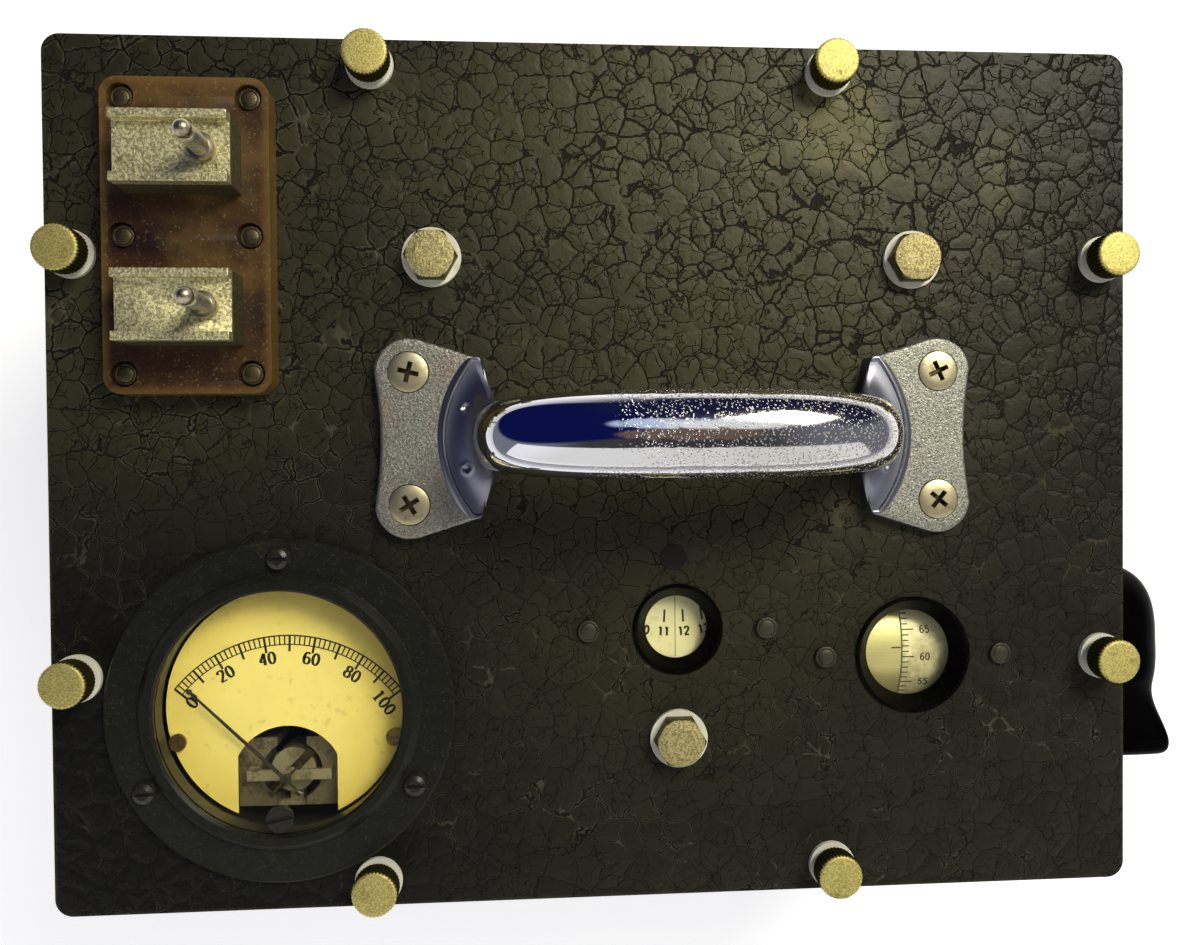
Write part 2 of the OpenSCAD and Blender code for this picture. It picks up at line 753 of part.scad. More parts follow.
// Centre line and cross-sections of the handle's arch
function arch(a) = let (c = cos(a), s = sin(a)) [sign(c) * grip_half_l * pow(abs(c), arch_power),
  leg_z + (grip_h - leg_z) * pow(abs(s), arch_power)];
function along(a) = unit(arch(min(a + arch_step, 180)) - arch(max(a - arch_step, 0)));
function swell(a) = pow(max(sin(a), 0), swell_power);
function arch_w(a) = grip_end_w + (grip_half_w - grip_end_w) * swell(a);
function arch_t(a) = grip_end_t + (grip_half_t - grip_end_t) * swell(a)
  - (grip_end_t - leg_half_t) * pow((grip_h - arch(a)[1]) / (grip_h - leg_z), 2);
function grip_turn(k) = 360 * k / grip_sides;
function arch_ring(a) = let (c = arch(a), d = along(a)) [for (k = [0 : grip_sides - 1])
  let (t = arch_t(a) * sin(grip_turn(k))) [c[0] - d[1] * t, arch_w(a) * cos(grip_turn(k)), c[1] + d[0] * t]];

// Ring of a foot at a height z: an outline with two tips, blended towards the oval of the leg
function outline_x(s, tip, out, in, power) =
  tip + (s < 0 ? out * pow(-s, power) : -in * pow(s, inner_power));
function foot_ring(side, z, outline, share) = [for (k = [0 : grip_sides - 1]) let (s = sin(grip_turn(k)),
  x = outline_x(s, outline[0], outline[1], outline[2], outline[3]),
  leg = grip_half_l - leg_half_t * s, w = foot_w + (grip_end_w - foot_w) * share)
  [side * (x + (leg - x) * share), w * cos(grip_turn(k)), z]];
function foot_rise_ring(side, i) = let (a = 90 * i / foot_rings)
  foot_ring(side, crest_z - valley_dip + foot_rise * (1 - cos(a)), crest_outline,
    valley_share + (1 - valley_share) * sin(a));
function foot(side) = concat([foot_ring(side, 0, base_outline, 0), foot_ring(side, crest_z, crest_outline,
  0)],
  [for (i = [0 : foot_rings - 1]) foot_rise_ring(side, i)]);
function reversed(list) = [for (i = [len(list) - 1 : -1 : 0]) list[i]];
module handle_arch() {
  skin(concat(foot(1), [for (i = [0 : arch_rings]) arch_ring(180 * i / arch_rings)], reversed(foot(-1))));
}

// Flange with a lobe round each screw, a hollow outer edge and sides that lean in
module flange_outline() {
  difference() {
    union() {
      for (y = [-1, 1]) translate([0, y * handle_pitch_w / 2]) circle(r = lobe_r);
      polygon([[-lobe_r, -handle_pitch_w / 2], [-lobe_r, handle_pitch_w / 2],
        [lobe_lean[0], handle_pitch_w / 2 + lobe_lean[1]], [flange_run, flange_inner_w],
        [flange_run, -flange_inner_w], [lobe_lean[0], -handle_pitch_w / 2 - lobe_lean[1]]]);
    }
    translate([-lobe_r + flange_hollow - hollow_r, 0]) circle(r = hollow_r);
  }
}

module handle() {
  color([0.82, 0.82, 0.84]) translate([axis_x, rotor_y, top_z]) difference() {
    union() {
      for (side = [-1, 1]) translate([side * handle_pitch_l / 2, 0, 0]) mirror([side > 0 ? 1 : 0, 0, 0])
        linear_extrude(height = flange_t) flange_outline();
      handle_arch();
    }
    for (x = [-1, 1], y = [-1, 1]) translate([x * handle_pitch_l / 2, y * handle_pitch_w / 2, flange_t]) {
      translate([0, 0, -flange_t - cut]) cylinder(r = handle_shank_r + slide_gap, h = flange_t + 2 * cut);
      translate([0, 0, -handle_head_d]) cylinder(r1 = handle_shank_r + slide_gap,
        r2 = handle_screw_r + slide_gap, h = handle_head_d);
      cylinder(r = handle_screw_r + slide_gap, h = cut);
    }
  }
}

module handle_screws() {
  color([0.72, 0.67, 0.45]) at_handle_screws(top_z + flange_t) difference() {
    union() {
      rotate_extrude() polygon([[0, -handle_head_d], [handle_shank_r, -handle_head_d], [handle_screw_r, 0],
        [handle_screw_r - handle_crown, handle_crown / 2], [0, handle_crown]]);
      translate([0, 0, -flange_t - panel_t - handle_nut_h - cut])
        cylinder(r = handle_shank_r, h = panel_t + handle_nut_h + flange_t);
    }
    rotate([0, 0, cross_turn]) {
      cube([cross_l, cross_w, 2 * cross_d], center = true);
      cube([cross_w, cross_l, 2 * cross_d], center = true);
    }
  }
}

module handle_nuts() {
  color([0.62, 0.60, 0.55]) at_handle_screws(rim_z - handle_nut_h) nut(nut_r, handle_nut_h, handle_shank_r);
}

// Hexagon bolts with a rounded crown
module condenser_bolts() {
  length = washer_t + panel_t + bolt_grip;
  color([0.62, 0.59, 0.53]) at_posts(top_z + washer_t) {
    intersection() {
      cylinder(r = hex_r, h = hex_h, $fn = 6);
      rotate_extrude() polygon([[0, 0], [hex_r, 0], [hex_r, hex_h - 2 * hex_crown],
        [hex_r - hex_crown, hex_h - hex_crown / 2], [hex_r - 4 * hex_crown, hex_h], [0, hex_h]]);
    }
    translate([0, 0, -length]) cylinder(r = post_screw_r, h = length + bite);
  }
}

module condenser_washers() {
  color([0.88, 0.86, 0.78]) at_posts(top_z) washer(hex_washer_r, post_screw_r + slide_gap);
}

module terminal_plate() {
  color([0.22, 0.10, 0.05]) difference() {
    translate([terminal_place[0], terminal_place[1], top_z])
      rounded_plate(terminal_w, terminal_l, terminal_r, terminal_t);
    at_terminal_rivets() {
      translate([0, 0, -cut]) cylinder(r = rivet_shank_r + seat_gap, h = terminal_t + 2 * cut);
      translate([0, 0, terminal_t - recess_d]) cylinder(r = terminal_recess_r, h = recess_d + cut);
    }
    at_plugs(top_z - cut) cylinder(r = stud_r + slide_gap, h = terminal_t + 2 * cut);
  }
}

module terminal_rivets() {
  color([0.45, 0.40, 0.33]) at_terminal_rivets() {
    translate([0, 0, terminal_t - recess_d]) rotate_extrude() intersection() {
      translate([0, rivet_h - terminal_dome_r]) circle(r = terminal_dome_r);
      square([terminal_rivet_r, rivet_h]);
    }
    translate([0, 0, -panel_t - rivet_tail_h])
      cylinder(r = rivet_shank_r, h = panel_t + rivet_tail_h + terminal_t - recess_d + rivet_h / 4);
    translate([0, 0, -panel_t - 2 * rivet_tail_h]) cylinder(r = terminal_rivet_r, h = 2 * rivet_tail_h);
  }
}

// Two nickelled channel blocks that carry the coil plugs
module coil_blocks() {
  color([0.66, 0.60, 0.42]) for (p = plug_places) difference() {
    translate([p[0] - plug_x, p[1], terminal_top + block_h / 2])
      cube([block_l, block_w, block_h], center = true);
    translate([p[0] - plug_x, p[1], channel_z + channel_d])
      cube([block_l + 2 * cut, channel_w, 2 * channel_d], center = true);
    translate([p[0], p[1], terminal_top - cut]) cylinder(r = stud_r + slide_gap, h = block_h + 2 * cut);
  }
}

// Slim plugs with a collar, a plain shank, a ringed waist and a round tip
module coil_plugs() {
  color([0.74, 0.70, 0.58]) at_plugs(channel_z) {
    cylinder(r = plug_collar_r, h = plug_collar_h);
    rotate_extrude() translate([0, plug_collar_h + plug_l])
      polygon([[0, -plug_l - bite], [plug_r, -plug_l - bite],
      [plug_r, 0], [plug_groove_r, plug_groove], [plug_groove_r, 3 * plug_groove], [plug_r, 4 * plug_groove],
      [plug_r, 8 * plug_groove], [plug_groove_r, 10 * plug_groove], [plug_r / 2, 12 * plug_groove],
      [0, 13 * plug_groove]]);
    translate([0, 0, top_z - channel_z - stud_drop])
      cylinder(r = stud_r, h = channel_z - top_z + stud_drop + bite);
  }
}

module coil_block_nuts() {
  color([0.70, 0.62, 0.35]) at_plugs(top_z - nut_h) nut(nut_r, nut_h, stud_r);
}

// Flat lug with a tab for the wire, towards the left
module lug(place, bore, tab_l) {
  translate(place) difference() {
    union() {
      cylinder(r = lug_r, h = lug_t);
      translate([-tab_l, -lug_tab_w / 2, 0]) cube([tab_l, lug_tab_w, lug_t]);
    }
    translate([0, 0, -cut]) cylinder(r = bore + seat_gap, h = lug_t + 2 * cut);
  }
}

// Wire from the rear coil plug to the fixed plates
module stator_lead() {
  stud = plug_places[0];
  rod_turn = rod_angles[2];
  rod = [axis_x, rotor_y] + (stator_r + rod_out) * [cos(rod_turn), sin(rod_turn)];
  bend = stud[0] - lug_r - lead_out;
  rod_side = rod[0] - insulator_r;
  color([0.72, 0.45, 0.25]) {
    lug([stud[0], stud[1], lug_z], stud_r, lug_r + lug_tab_out);
    lug([rod[0], rod[1], stator_top], rod_r, insulator_r + lead_out);
    wire([[stud[0] - lug_r, stud[1], lug_z - wire_r / 2], [bend, stud[1], lug_z - lead_drop],
      [bend, stud[1], stator_top + lead_drop], [rod_side - 2 * lead_out, rod[1], stator_top + lead_drop / 2],
      [rod_side - lead_out / 2, rod[1], stator_top + lug_t]]);
  }
}

// Wire from the front coil plug to the frame
module rotor_lead() {
  stud = plug_places[1];
  end = [post_places[0][0] + frame_tap[0], post_places[0][1] + frame_tap[1], top_plate_top];
  color([0.72, 0.45, 0.25]) {
    lug([stud[0], stud[1], lug_z], stud_r, lug_r + lug_tab_out);
    wire([[stud[0] - lug_r, stud[1], lug_z - wire_r / 2],
      [stud[0] - lug_r - lead_out, stud[1], lug_z - lead_drop], [stud[0], stud[1], lug_z - 3 * lead_drop],
      end + [-lead_out, -lead_out, lead_drop], [end[0], end[1], end[2] + wire_r]]);
  }
}

// Funnel-shaped rim that holds a window glass
module bezel(place, window_r, open_r) {
  seat_z = glass_t - panel_t;
  translate([place[0], place[1], top_z]) rotate_extrude() polygon([[window_r, 0],
    [window_r, bezel_lip - bezel_round], [window_r - bezel_round, bezel_lip],
      [window_r - bezel_land, bezel_lip],
    [open_r, seat_z + bite], [open_r, seat_z], [open_r + bezel_seat, seat_z], [open_r + bezel_seat, -panel_t],
    [window_r - bezel_flange, -panel_t], [window_r - bezel_flange, 0]]);
}

module window_bezels() {
  color([0.04, 0.04, 0.04]) {
    bezel(main_window, main_window_r, main_open_r);
    bezel(drum_window, drum_window_r, drum_open_r);
  }
}

module window_glasses() {
  color([0.85, 0.9, 0.9, 0.35]) {
    translate([main_window[0], main_window[1], rim_z])
      cylinder(r = main_open_r + bezel_seat - seat_gap, h = glass_t);
    translate([drum_window[0], drum_window[1], rim_z])
      cylinder(r = drum_open_r + bezel_seat - seat_gap, h = glass_t);
  }
}

module window_rivets() {
  color([0.22, 0.21, 0.19]) at_window_rivets() {
    rotate_extrude() polygon([[0, 0], [rivet_r, 0], [rivet_r, rivet_h / 3],
      [rivet_r - rivet_h / 3, 2 * rivet_h / 3],
      [rivet_r - rivet_h, rivet_h], [0, rivet_h]]);
    translate([0, 0, -panel_t - rivet_tail_h]) cylinder(r = rivet_shank_r, h = panel_t + rivet_tail_h + bite);
  }
}

module panel_plug() {
  color([0.16, 0.16, 0.14]) translate([plug_hole[0], plug_hole[1], rim_z])
    cylinder(r = plug_hole_r, h = panel_t + plug_proud);
}

// Flange with a raised ring that holds the glass
module meter_front() {
  inner = meter_glass_r + seat_gap;
  color([0.09, 0.09, 0.09]) difference() {
    in_meter(0) rotate_extrude($fn = 144) polygon([[inner, 0], [meter_r, 0],
      [meter_r, meter_flange_t - meter_edge],
      [meter_r - meter_edge, meter_flange_t], [ring_r + meter_edge, meter_flange_t],
      [ring_r, meter_flange_t + meter_edge], [ring_r, ring_h - 2 * meter_edge],
        [ring_r - 2 * meter_edge, ring_h],
      [ring_open_r + meter_edge, ring_h], [ring_open_r, ring_h - meter_edge], [ring_open_r, meter_glass_top],
      [inner, meter_glass_top]]);
    at_meter_screws() translate([0, 0, -cut]) cylinder(r = meter_shank_r + slide_gap,
      h = meter_flange_t + 2 * cut);
  }
}

module meter_glass() {
  color([0.9, 0.95, 0.95, 0.3]) difference() {
    in_meter(meter_glass_bottom) cylinder(r = meter_glass_r, h = meter_glass_top - meter_glass_bottom);
    in_meter(0) translate([0, zero_y, 0]) cylinder(r = zero_stem_r + run_gap, h = ring_h);
  }
}

module meter_screws() {
  round_h = meter_screw_h / 4;
  color([0.16, 0.15, 0.14]) at_meter_screws() translate([0, 0, meter_flange_t]) difference() {
    union() {
      rotate_extrude() polygon([[0, 0], [meter_screw_r, 0], [meter_screw_r, round_h],
        [meter_screw_r - round_h, 3 * round_h],
        [meter_screw_r - 3 * round_h, 4 * round_h], [0, meter_screw_h]]);
      translate([0, 0, -meter_flange_t - panel_t])
        cylinder(r = meter_shank_r, h = panel_t + meter_flange_t + bite);
    }
    translate([0, 0, meter_screw_h]) cube([3 * meter_screw_r, slot_w, 2 * slot_d], center = true);
  }
}

// Round scale plate with an arched opening over the movement
module meter_scale_plate() {
  color([0.88, 0.78, 0.40]) difference() {
    in_meter(-scale_depth - scale_plate_t) cylinder(r = scale_plate_r, h = scale_plate_t);
    in_meter(-scale_depth - cut) linear_extrude(height = 2 * cut) {
      intersection() {
        translate([0, arch_side_y + arch_shift]) circle(r = arch_round_r);
        translate([-arch_half_w, -scale_plate_r]) square([2 * arch_half_w, 2 * scale_plate_r]);
      }
      translate([-arch_half_w, -scale_plate_r - cut])
        square([2 * arch_half_w, scale_plate_r + cut + arch_side_y]);
    }
    at_scale_screws(-scale_depth - cut) cylinder(r = scale_screw_r + slide_gap, h = 2 * cut);
  }
}

module at_scale_screws(z) {
  for (side = [-1, 1]) in_meter(z) translate([side * scale_screw[0], scale_screw[1], 0]) children();
}

module meter_scale_screws() {
  color([0.55, 0.48, 0.25]) at_scale_screws(-scale_depth) difference() {
    union() {
      cylinder(r = scale_head_r, h = scale_head_h);
      translate([0, 0, -3 * scale_screw_r]) cylinder(r = scale_screw_r, h = 3 * scale_screw_r + bite);
    }
    translate([0, 0, scale_head_h]) cube([3 * scale_head_r, slot_w / 2, slot_d], center = true);
  }
}

// Pointer with its staff, its tail and three balance weights
module meter_pointer() {
  lance = pointer_l - lance_l;
  color([0.08, 0.08, 0.08]) {
    on_pivot(magnet_low - staff_end) cylinder(r = staff_r,
      h = pointer_z + 2 * pointer_t - magnet_low + staff_end);
    on_pivot(pointer_z) rotate([0, 0, pointer_angle]) {
      cylinder(r = pointer_hub_r, h = pointer_t);
      linear_extrude(height = pointer_t) polygon([[0, pointer_half_w], [lance, pointer_half_w / 2],
        [lance + lance_half_w, lance_half_w], [pointer_l, pointer_half_w / 3],
          [pointer_l, -pointer_half_w / 3],
        [lance + lance_half_w, -lance_half_w], [lance, -pointer_half_w / 2], [0, -pointer_half_w]]);
      for (a = [90, 180, 270]) rotate([0, 0, a]) {
        translate([0, -pointer_half_w / 2, 0]) cube([balance_l, pointer_half_w, pointer_t]);
        translate([balance_l, 0, pointer_t / 2]) rotate([0, 90, 0])
          cylinder(r = weight_r, h = weight_l, center = true, $fn = 24);
      }
    }
  }
}

// Moving coil: a closed frame round the core
module meter_coil() {
  color([0.60, 0.32, 0.16]) on_pivot(core_z) rotate([0, 0, pointer_angle + 90]) difference() {
    cube([2 * coil_r + coil_w, coil_depth, 2 * (coil_half_h + coil_end)], center = true);
    cube([2 * coil_r - coil_w, 2 * coil_depth, 2 * coil_half_h], center = true);
    cylinder(r = staff_r + seat_gap, h = 2 * magnet_h, center = true);
  }
}

// Soft iron core with the arm that carries it from the poles
module meter_core() {
  arm_l = pole_half_w + core_bar_t / 2;
  color([0.50, 0.50, 0.52]) on_pivot(core_z) difference() {
    union() {
      cylinder(r = core_r, h = core_h, center = true);
      translate([0, -arm_l / 2, 0]) cube([core_arm_w, arm_l, core_arm_w], center = true);
      translate([0, -arm_l, 0]) cube([2 * pole_half_l - 2 * core_arm_w, core_bar_t, core_arm_w],
        center = true);
    }
    cylinder(r = staff_r + hole_gap, h = 2 * core_h, center = true);
  }
}

module meter_pole_pieces() {
  color([0.42, 0.42, 0.44]) on_pivot(magnet_low) for (side = [-1, 1]) difference() {
    translate([side > 0 ? pole_gap : -pole_half_l, -pole_half_w, 0])
      cube([pole_half_l - pole_gap, 2 * pole_half_w, magnet_h]);
    translate([0, 0, -cut]) cylinder(r = pole_bore_r, h = magnet_h + 2 * cut);
  }
}

// Horseshoe magnet whose ends meet the pole pieces
module meter_magnet() {
  color([0.25, 0.10, 0.09]) in_meter(magnet_low) difference() {
    cylinder(r = magnet_r, h = magnet_h);
    translate([0, 0, -cut]) cylinder(r = magnet_inner_r, h = magnet_h + 2 * cut);
    translate([-pole_half_l, -magnet_r - cut, -cut])
      cube([2 * pole_half_l, magnet_r + cut, magnet_h + 2 * cut]);
  }
}

// Bridges above and below the coil, with the jewel screws
module meter_bridge() {
  post_h = bridge_z - magnet_top + bridge_t / 2;
  color([0.70, 0.62, 0.38]) difference() {
    union() {
      on_pivot(bridge_z + bridge_t / 2) cube([2 * bridge_post_x + bridge_post_w, bridge_w, bridge_t],
        center = true);
      for (side = [-1, 1]) on_pivot(magnet_top + post_h / 2) translate([side * bridge_post_x, 0, 0])
        cube([bridge_post_w, bridge_w, post_h], center = true);
      on_pivot(bridge_z + (bridge_t - jewel_h) / 2) cylinder(r = jewel_r, h = jewel_h);
      on_pivot(magnet_low - bridge_t / 2)
        cube([2 * bridge_post_x + bridge_post_w, bridge_w, bridge_t], center = true);
    }
    on_pivot(magnet_top) cylinder(r = staff_r + run_gap, h = magnet_h);
    on_pivot(magnet_low - 2 * bridge_t) cylinder(r = staff_r + run_gap, h = 3 * bridge_t);
  }
}

// Moulded cup with the pillars that carry the magnet and the scale
module meter_case() {
  inner_r = meter_case_r - meter_wall;
  floor_z = meter_wall - meter_depth;
  color([0.06, 0.06, 0.06]) difference() {
    union() {
      in_meter(0) rotate_extrude() polygon([[0, -meter_depth], [meter_case_r - foot_edge, -meter_depth],
        [meter_case_r, foot_edge - meter_depth], [meter_case_r, 0], [meter_glass_r, 0],
        [meter_glass_r, meter_glass_bottom], [meter_glass_r - meter_ledge, meter_glass_bottom],
        [meter_glass_r - meter_ledge, pointer_z - meter_edge], [inner_r, -scale_depth], [inner_r, floor_z],
        [0, floor_z]]);
      for (side = [-1, 1]) in_meter(floor_z - bite) translate([side * magnet_foot[0], magnet_foot[1], 0])
        cylinder(r = magnet_foot_r, h = magnet_low - floor_z + bite);
      at_scale_screws(floor_z - bite)
        cylinder(r = scale_head_r, h = bite - floor_z - scale_depth - scale_plate_t);
    }
    for (side = [-1, 1]) in_meter(-meter_depth - cut) translate([side * meter_stud[0], meter_stud[1], 0])
      cylinder(r = stud_r + seat_gap, h = meter_wall + 2 * cut);
    at_scale_screws(-scale_depth - 4 * scale_screw_r)
      cylinder(r = scale_screw_r + seat_gap, h = 4 * scale_screw_r);
  }
}

module meter_terminals() {
  color([0.70, 0.62, 0.35]) for (side = [-1, 1]) in_meter(-meter_depth)
    translate([side * meter_stud[0], meter_stud[1], 0]) {
      translate([0, 0, meter_wall]) cylinder(r = lug_r, h = 2 * bite);
      translate([0, 0, -meter_stud_l]) cylinder(r = stud_r, h = meter_stud_l + meter_wall + bite);
      translate([0, 0, -nut_h]) cylinder(r = nut_r, h = nut_h, $fn = 6);
    }
}

// Thermocouple: a small block with two posts and a heater strip
module thermocouple() {
  color([0.30, 0.16, 0.08]) in_meter(meter_wall - meter_depth) translate([0, thermo_y, 0]) {
    translate([0, 0, thermo_block[2] / 2]) cube(thermo_block, center = true);
    for (side = [-1, 1]) translate([side * thermo_post_x, 0, 0])
      cylinder(r = thermo_post_r, h = thermo_post_h, $fn = 24);
    translate([0, 0, thermo_post_h - thermo_strip / 2])
      cube([2 * thermo_post_x, 2 * thermo_strip, thermo_strip], center = true);
  }
}

// Slotted button through the glass with an offset pin below
module zero_corrector() {
  color([0.20, 0.19, 0.18]) in_meter(0) translate([0, zero_y, 0]) difference() {
    union() {
      translate([0, 0, meter_glass_top + run_gap]) cylinder(r = zero_r, h = zero_head_h);
      cylinder(r = zero_stem_r, h = meter_glass_top + bite);
      translate([zero_stem_r / 2, 0, -zero_pin_l]) cylinder(r = zero_pin_r, h = zero_pin_l + bite, $fn = 24);
    }
    translate([0, 0, meter_glass_top + zero_head_h]) rotate([0, 0, zero_turn])
      cube([3 * zero_r, slot_w, 2 * slot_d], center = true);
  }
}

// Posts that hang the condenser from the panel, each with a stud through the top plate
module panel_posts() {
  length = rim_z - top_plate_top;
  stud_l = end_plate_t + post_stud_l;
  color([0.72, 0.72, 0.70]) at_posts(top_plate_top) {
    difference() {
      cylinder(r = post_r, h = length);
      translate([0, 0, length - bolt_grip - cut])
        cylinder(r = post_screw_r + seat_gap, h = bolt_grip + 2 * cut);
    }
    translate([0, 0, -stud_l]) cylinder(r = post_screw_r, h = stud_l + bite);
  }
}

module frame_outline() {
  hull() {
    for (p = post_places) translate([p[0], p[1]]) circle(r = plate_edge, $fn = 32);
    for (side = [-1, 1]) translate([axis_x + side * (bearing_x + bearing_foot_w / 4), drive_y])
      circle(r = plate_edge, $fn = 32);
  }
}

module end_plate(z) {
  difference() {
    translate([0, 0, z]) linear_extrude(height = end_plate_t) frame_outline();
    at_posts(z - cut) cylinder(r = post_screw_r + slide_gap, h = end_plate_t + 2 * cut);
    translate([axis_x, rotor_y, z - cut]) cylinder(r = bush_r + seat_gap, h = end_plate_t + 2 * cut);
  }
}

module top_end_plate() {
  color([0.75, 0.75, 0.73]) end_plate(top_plate_z);
}

module bottom_end_plate() {
  color([0.75, 0.75, 0.73]) end_plate(bottom_plate_z);
}

module frame_pillars() {
  length = top_plate_z - bottom_plate_top;
  stud_l = end_plate_t + nut_h + cut;
  color([0.72, 0.72, 0.70]) at_posts(bottom_plate_top) {
    difference() {
      cylinder(r = post_r, h = length);
      translate([0, 0, length - post_stud_l - cut])
        cylinder(r = post_screw_r + seat_gap, h = post_stud_l + 2 * cut);
    }
    translate([0, 0, -stud_l]) cylinder(r = post_screw_r, h = stud_l + bite);
  }
}

module pillar_nuts() {
  color([0.62, 0.60, 0.55]) at_posts(bottom_plate_z - nut_h) nut(post_r, nut_h, post_screw_r);
}

// Half-round fixed plates with an ear round each rod
module stator_plates() {
  color([0.80, 0.80, 0.80]) for (i = [0 : rotor_count])
    translate([axis_x, rotor_y, stator_low + i * plate_pitch])
    linear_extrude(height = plate_t) difference() {
      union() {
        intersection() {
          circle(r = stator_r);
          translate([-stator_r, 0]) square([2 * stator_r, stator_r]);
        }
        for (a = rod_angles) rotate(a) {
          translate([stator_r + rod_out, 0]) circle(r = ear_r);
          translate([stator_r - ear_root, -ear_r]) square([rod_out + ear_root, 2 * ear_r]);
        }
      }
      circle(r = stator_inner_r);
      for (a = rod_angles) rotate(a) translate([stator_r + rod_out, 0]) circle(r = rod_r + seat_gap);
    }
}

// Rods with a spacer between each pair of fixed plates
module stator_rods() {
  low = bottom_plate_top + insulator_h - rod_seat;
  high = top_plate_z - insulator_h + rod_seat;
  color([0.74, 0.66, 0.40]) {
    at_rods(low) cylinder(r = rod_r, h = high - low);
    for (i = [0 : rotor_count - 1]) at_rods(stator_low + plate_t + i * plate_pitch)
      cylinder(r = spacer_r, h = plate_pitch - plate_t);
  }
}

module insulators() {
  color([0.86, 0.84, 0.78]) {
    at_rods(bottom_plate_top) insulator(insulator_h - rod_seat);
    at_rods(top_plate_z - insulator_h) insulator(-cut);
  }
}

module insulator(hole_z) {
  difference() {
    rotate_extrude() polygon([[0, 0], [insulator_r - insulator_edge, 0], [insulator_r, insulator_edge],
      [insulator_r, insulator_h - insulator_edge], [insulator_r - insulator_edge, insulator_h],
        [0, insulator_h]]);
    translate([0, 0, hole_z]) cylinder(r = rod_r + seat_gap, h = rod_seat + cut);
  }
}

// Flanged bush in the top plate
module upper_bearing() {
  color([0.72, 0.60, 0.32]) translate([axis_x, rotor_y, top_plate_top]) rotate_extrude()
    polygon([[shaft_r + run_gap, -end_plate_t - bush_depth], [bush_r, -end_plate_t - bush_depth], [bush_r, 0],
      [bush_r + bush_flange_w, 0], [bush_r + bush_flange_w, bush_flange_t],
        [shaft_r + run_gap, bush_flange_t]]);
}

// Closed bush that carries the foot of the rotor shaft
module lower_bearing() {
  top = end_plate_t + bush_flange_t;
  color([0.72, 0.60, 0.32]) translate([axis_x, rotor_y, bottom_plate_z]) rotate_extrude()
    polygon([[0, -bush_flange_t], [bush_r + bush_flange_w, -bush_flange_t], [bush_r + bush_flange_w, 0],
      [bush_r, 0],
      [bush_r, top], [shaft_r + run_gap, top], [shaft_r + run_gap, bush_floor], [0, bush_floor]]);
}

module rotor_shaft() {
  foot_z = bottom_plate_z + bush_floor + slide_gap;
  color([0.70, 0.70, 0.72]) translate([axis_x, rotor_y, foot_z])
    cylinder(r = shaft_r, h = dial_top - foot_z - hole_gap);
}

module rotor_plates() {
  color([0.82, 0.82, 0.82]) translate([axis_x, rotor_y, rotor_low]) rotate([0, 0, rotor_turn])
    for (i = [0 : rotor_count - 1]) translate([0, 0, i * plate_pitch])
      linear_extrude(height = plate_t) difference() {
      union() {
        intersection() {
          circle(r = rotor_r);
          translate([-rotor_r, 0]) square([2 * rotor_r, rotor_r]);
        }
        circle(r = collar_r + plate_hub);
      }
      circle(r = shaft_r + seat_gap);
    }
}

module rotor_collars() {
  color([0.76, 0.68, 0.42]) translate([axis_x, rotor_y, rotor_low]) difference() {
    union() {
      for (i = [0 : rotor_count - 2]) translate([0, 0, i * plate_pitch + plate_t])
        cylinder(r = collar_r, h = plate_pitch - plate_t);
      translate([0, 0, rotor_stack + plate_t]) cylinder(r = collar_r, h = end_collar_h);
      translate([0, 0, -end_collar_h]) cylinder(r = collar_r, h = end_collar_h);
    }
    translate([0, 0, -end_collar_h - cut]) cylinder(r = shaft_r + seat_gap,
      h = rotor_stack + 3 * end_collar_h);
  }
}

// Worm wheel: throated rim, thin web with lightening holes, and a hub
module worm_wheel() {
  color([0.75, 0.60, 0.28]) translate([axis_x, rotor_y, drive_z]) difference() {
    rotate_extrude($fn = 120) difference() {
      union() {
        translate([wheel_rim_in, -wheel_face / 2]) square([wheel_rim_r - wheel_rim_in, wheel_face]);
        translate([shaft_r + seat_gap, -wheel_web_t / 2]) square([wheel_rim_in, wheel_web_t]);
        translate([shaft_r + seat_gap, -wheel_hub_h / 2]) square([wheel_hub_r - shaft_r, wheel_hub_h]);
      }
      translate([drive_distance, 0]) circle(r = throat_r);
    }
    for (i = [0 : wheel_teeth - 1]) rotate([0, 0, i * 360 / wheel_teeth - 90])
      translate([wheel_pitch_r, 0, 0])
      rotate([-lead_angle, 0, 0]) tooth_gap();
    for (a = [0 : 60 : 300]) rotate([0, 0, a]) translate([(wheel_hub_r + wheel_rim_in) / 2, 0, -wheel_web_t])
      cylinder(r = web_hole_r, h = 2 * wheel_web_t);
  }
}

// One gap between two teeth, with sloping sides, centred on the pitch circle
module tooth_gap() {
  low = -addendum - tooth_clearance;
  high = wheel_rim_r - wheel_pitch_r + cut;
  half = gap_pitch_w / 2;
  translate([0, 0, -wheel_face]) linear_extrude(height = 2 * wheel_face)
    polygon([[low, -half - low * -flank_slope],
    [high, -half - high * flank_slope], [high, half + high * flank_slope], [low, half + low * flank_slope]]);
}

// Numbered dial on its hub
module main_dial() {
  hub_z = drive_z + wheel_hub_h / 2;
  color([0.86, 0.84, 0.66]) translate([axis_x, rotor_y, 0]) difference() {
    union() {
      translate([0, 0, dial_top - dial_t]) cylinder(r = dial_r, h = dial_t, $fn = 144);
      translate([0, 0, hub_z]) cylinder(r = dial_hub_r, h = dial_top - dial_t / 2 - hub_z);
    }
    translate([0, 0, drive_z]) cylinder(r = shaft_r + seat_gap, h = drum_r + cut);
  }
}

// Thread of the worm: a four sided ridge wound round the core
function thread_point(i, k) = let (a = 360 * i / thread_segments, side = k < 2 ? -1 : 1,
  r = k == 1 || k == 2 ? worm_tip_r : worm_root_r - thread_sink,
  w = thread_pitch_w / 2 + (worm_pitch_r - r) * flank_slope)
  [axial_pitch * i / thread_segments + side * w, r * cos(a), r * sin(a)];
module worm_thread() {
  skin([for (i = [-thread_half : thread_half]) [for (k = [3 : -1 : 0]) thread_point(i, k)]]);
}

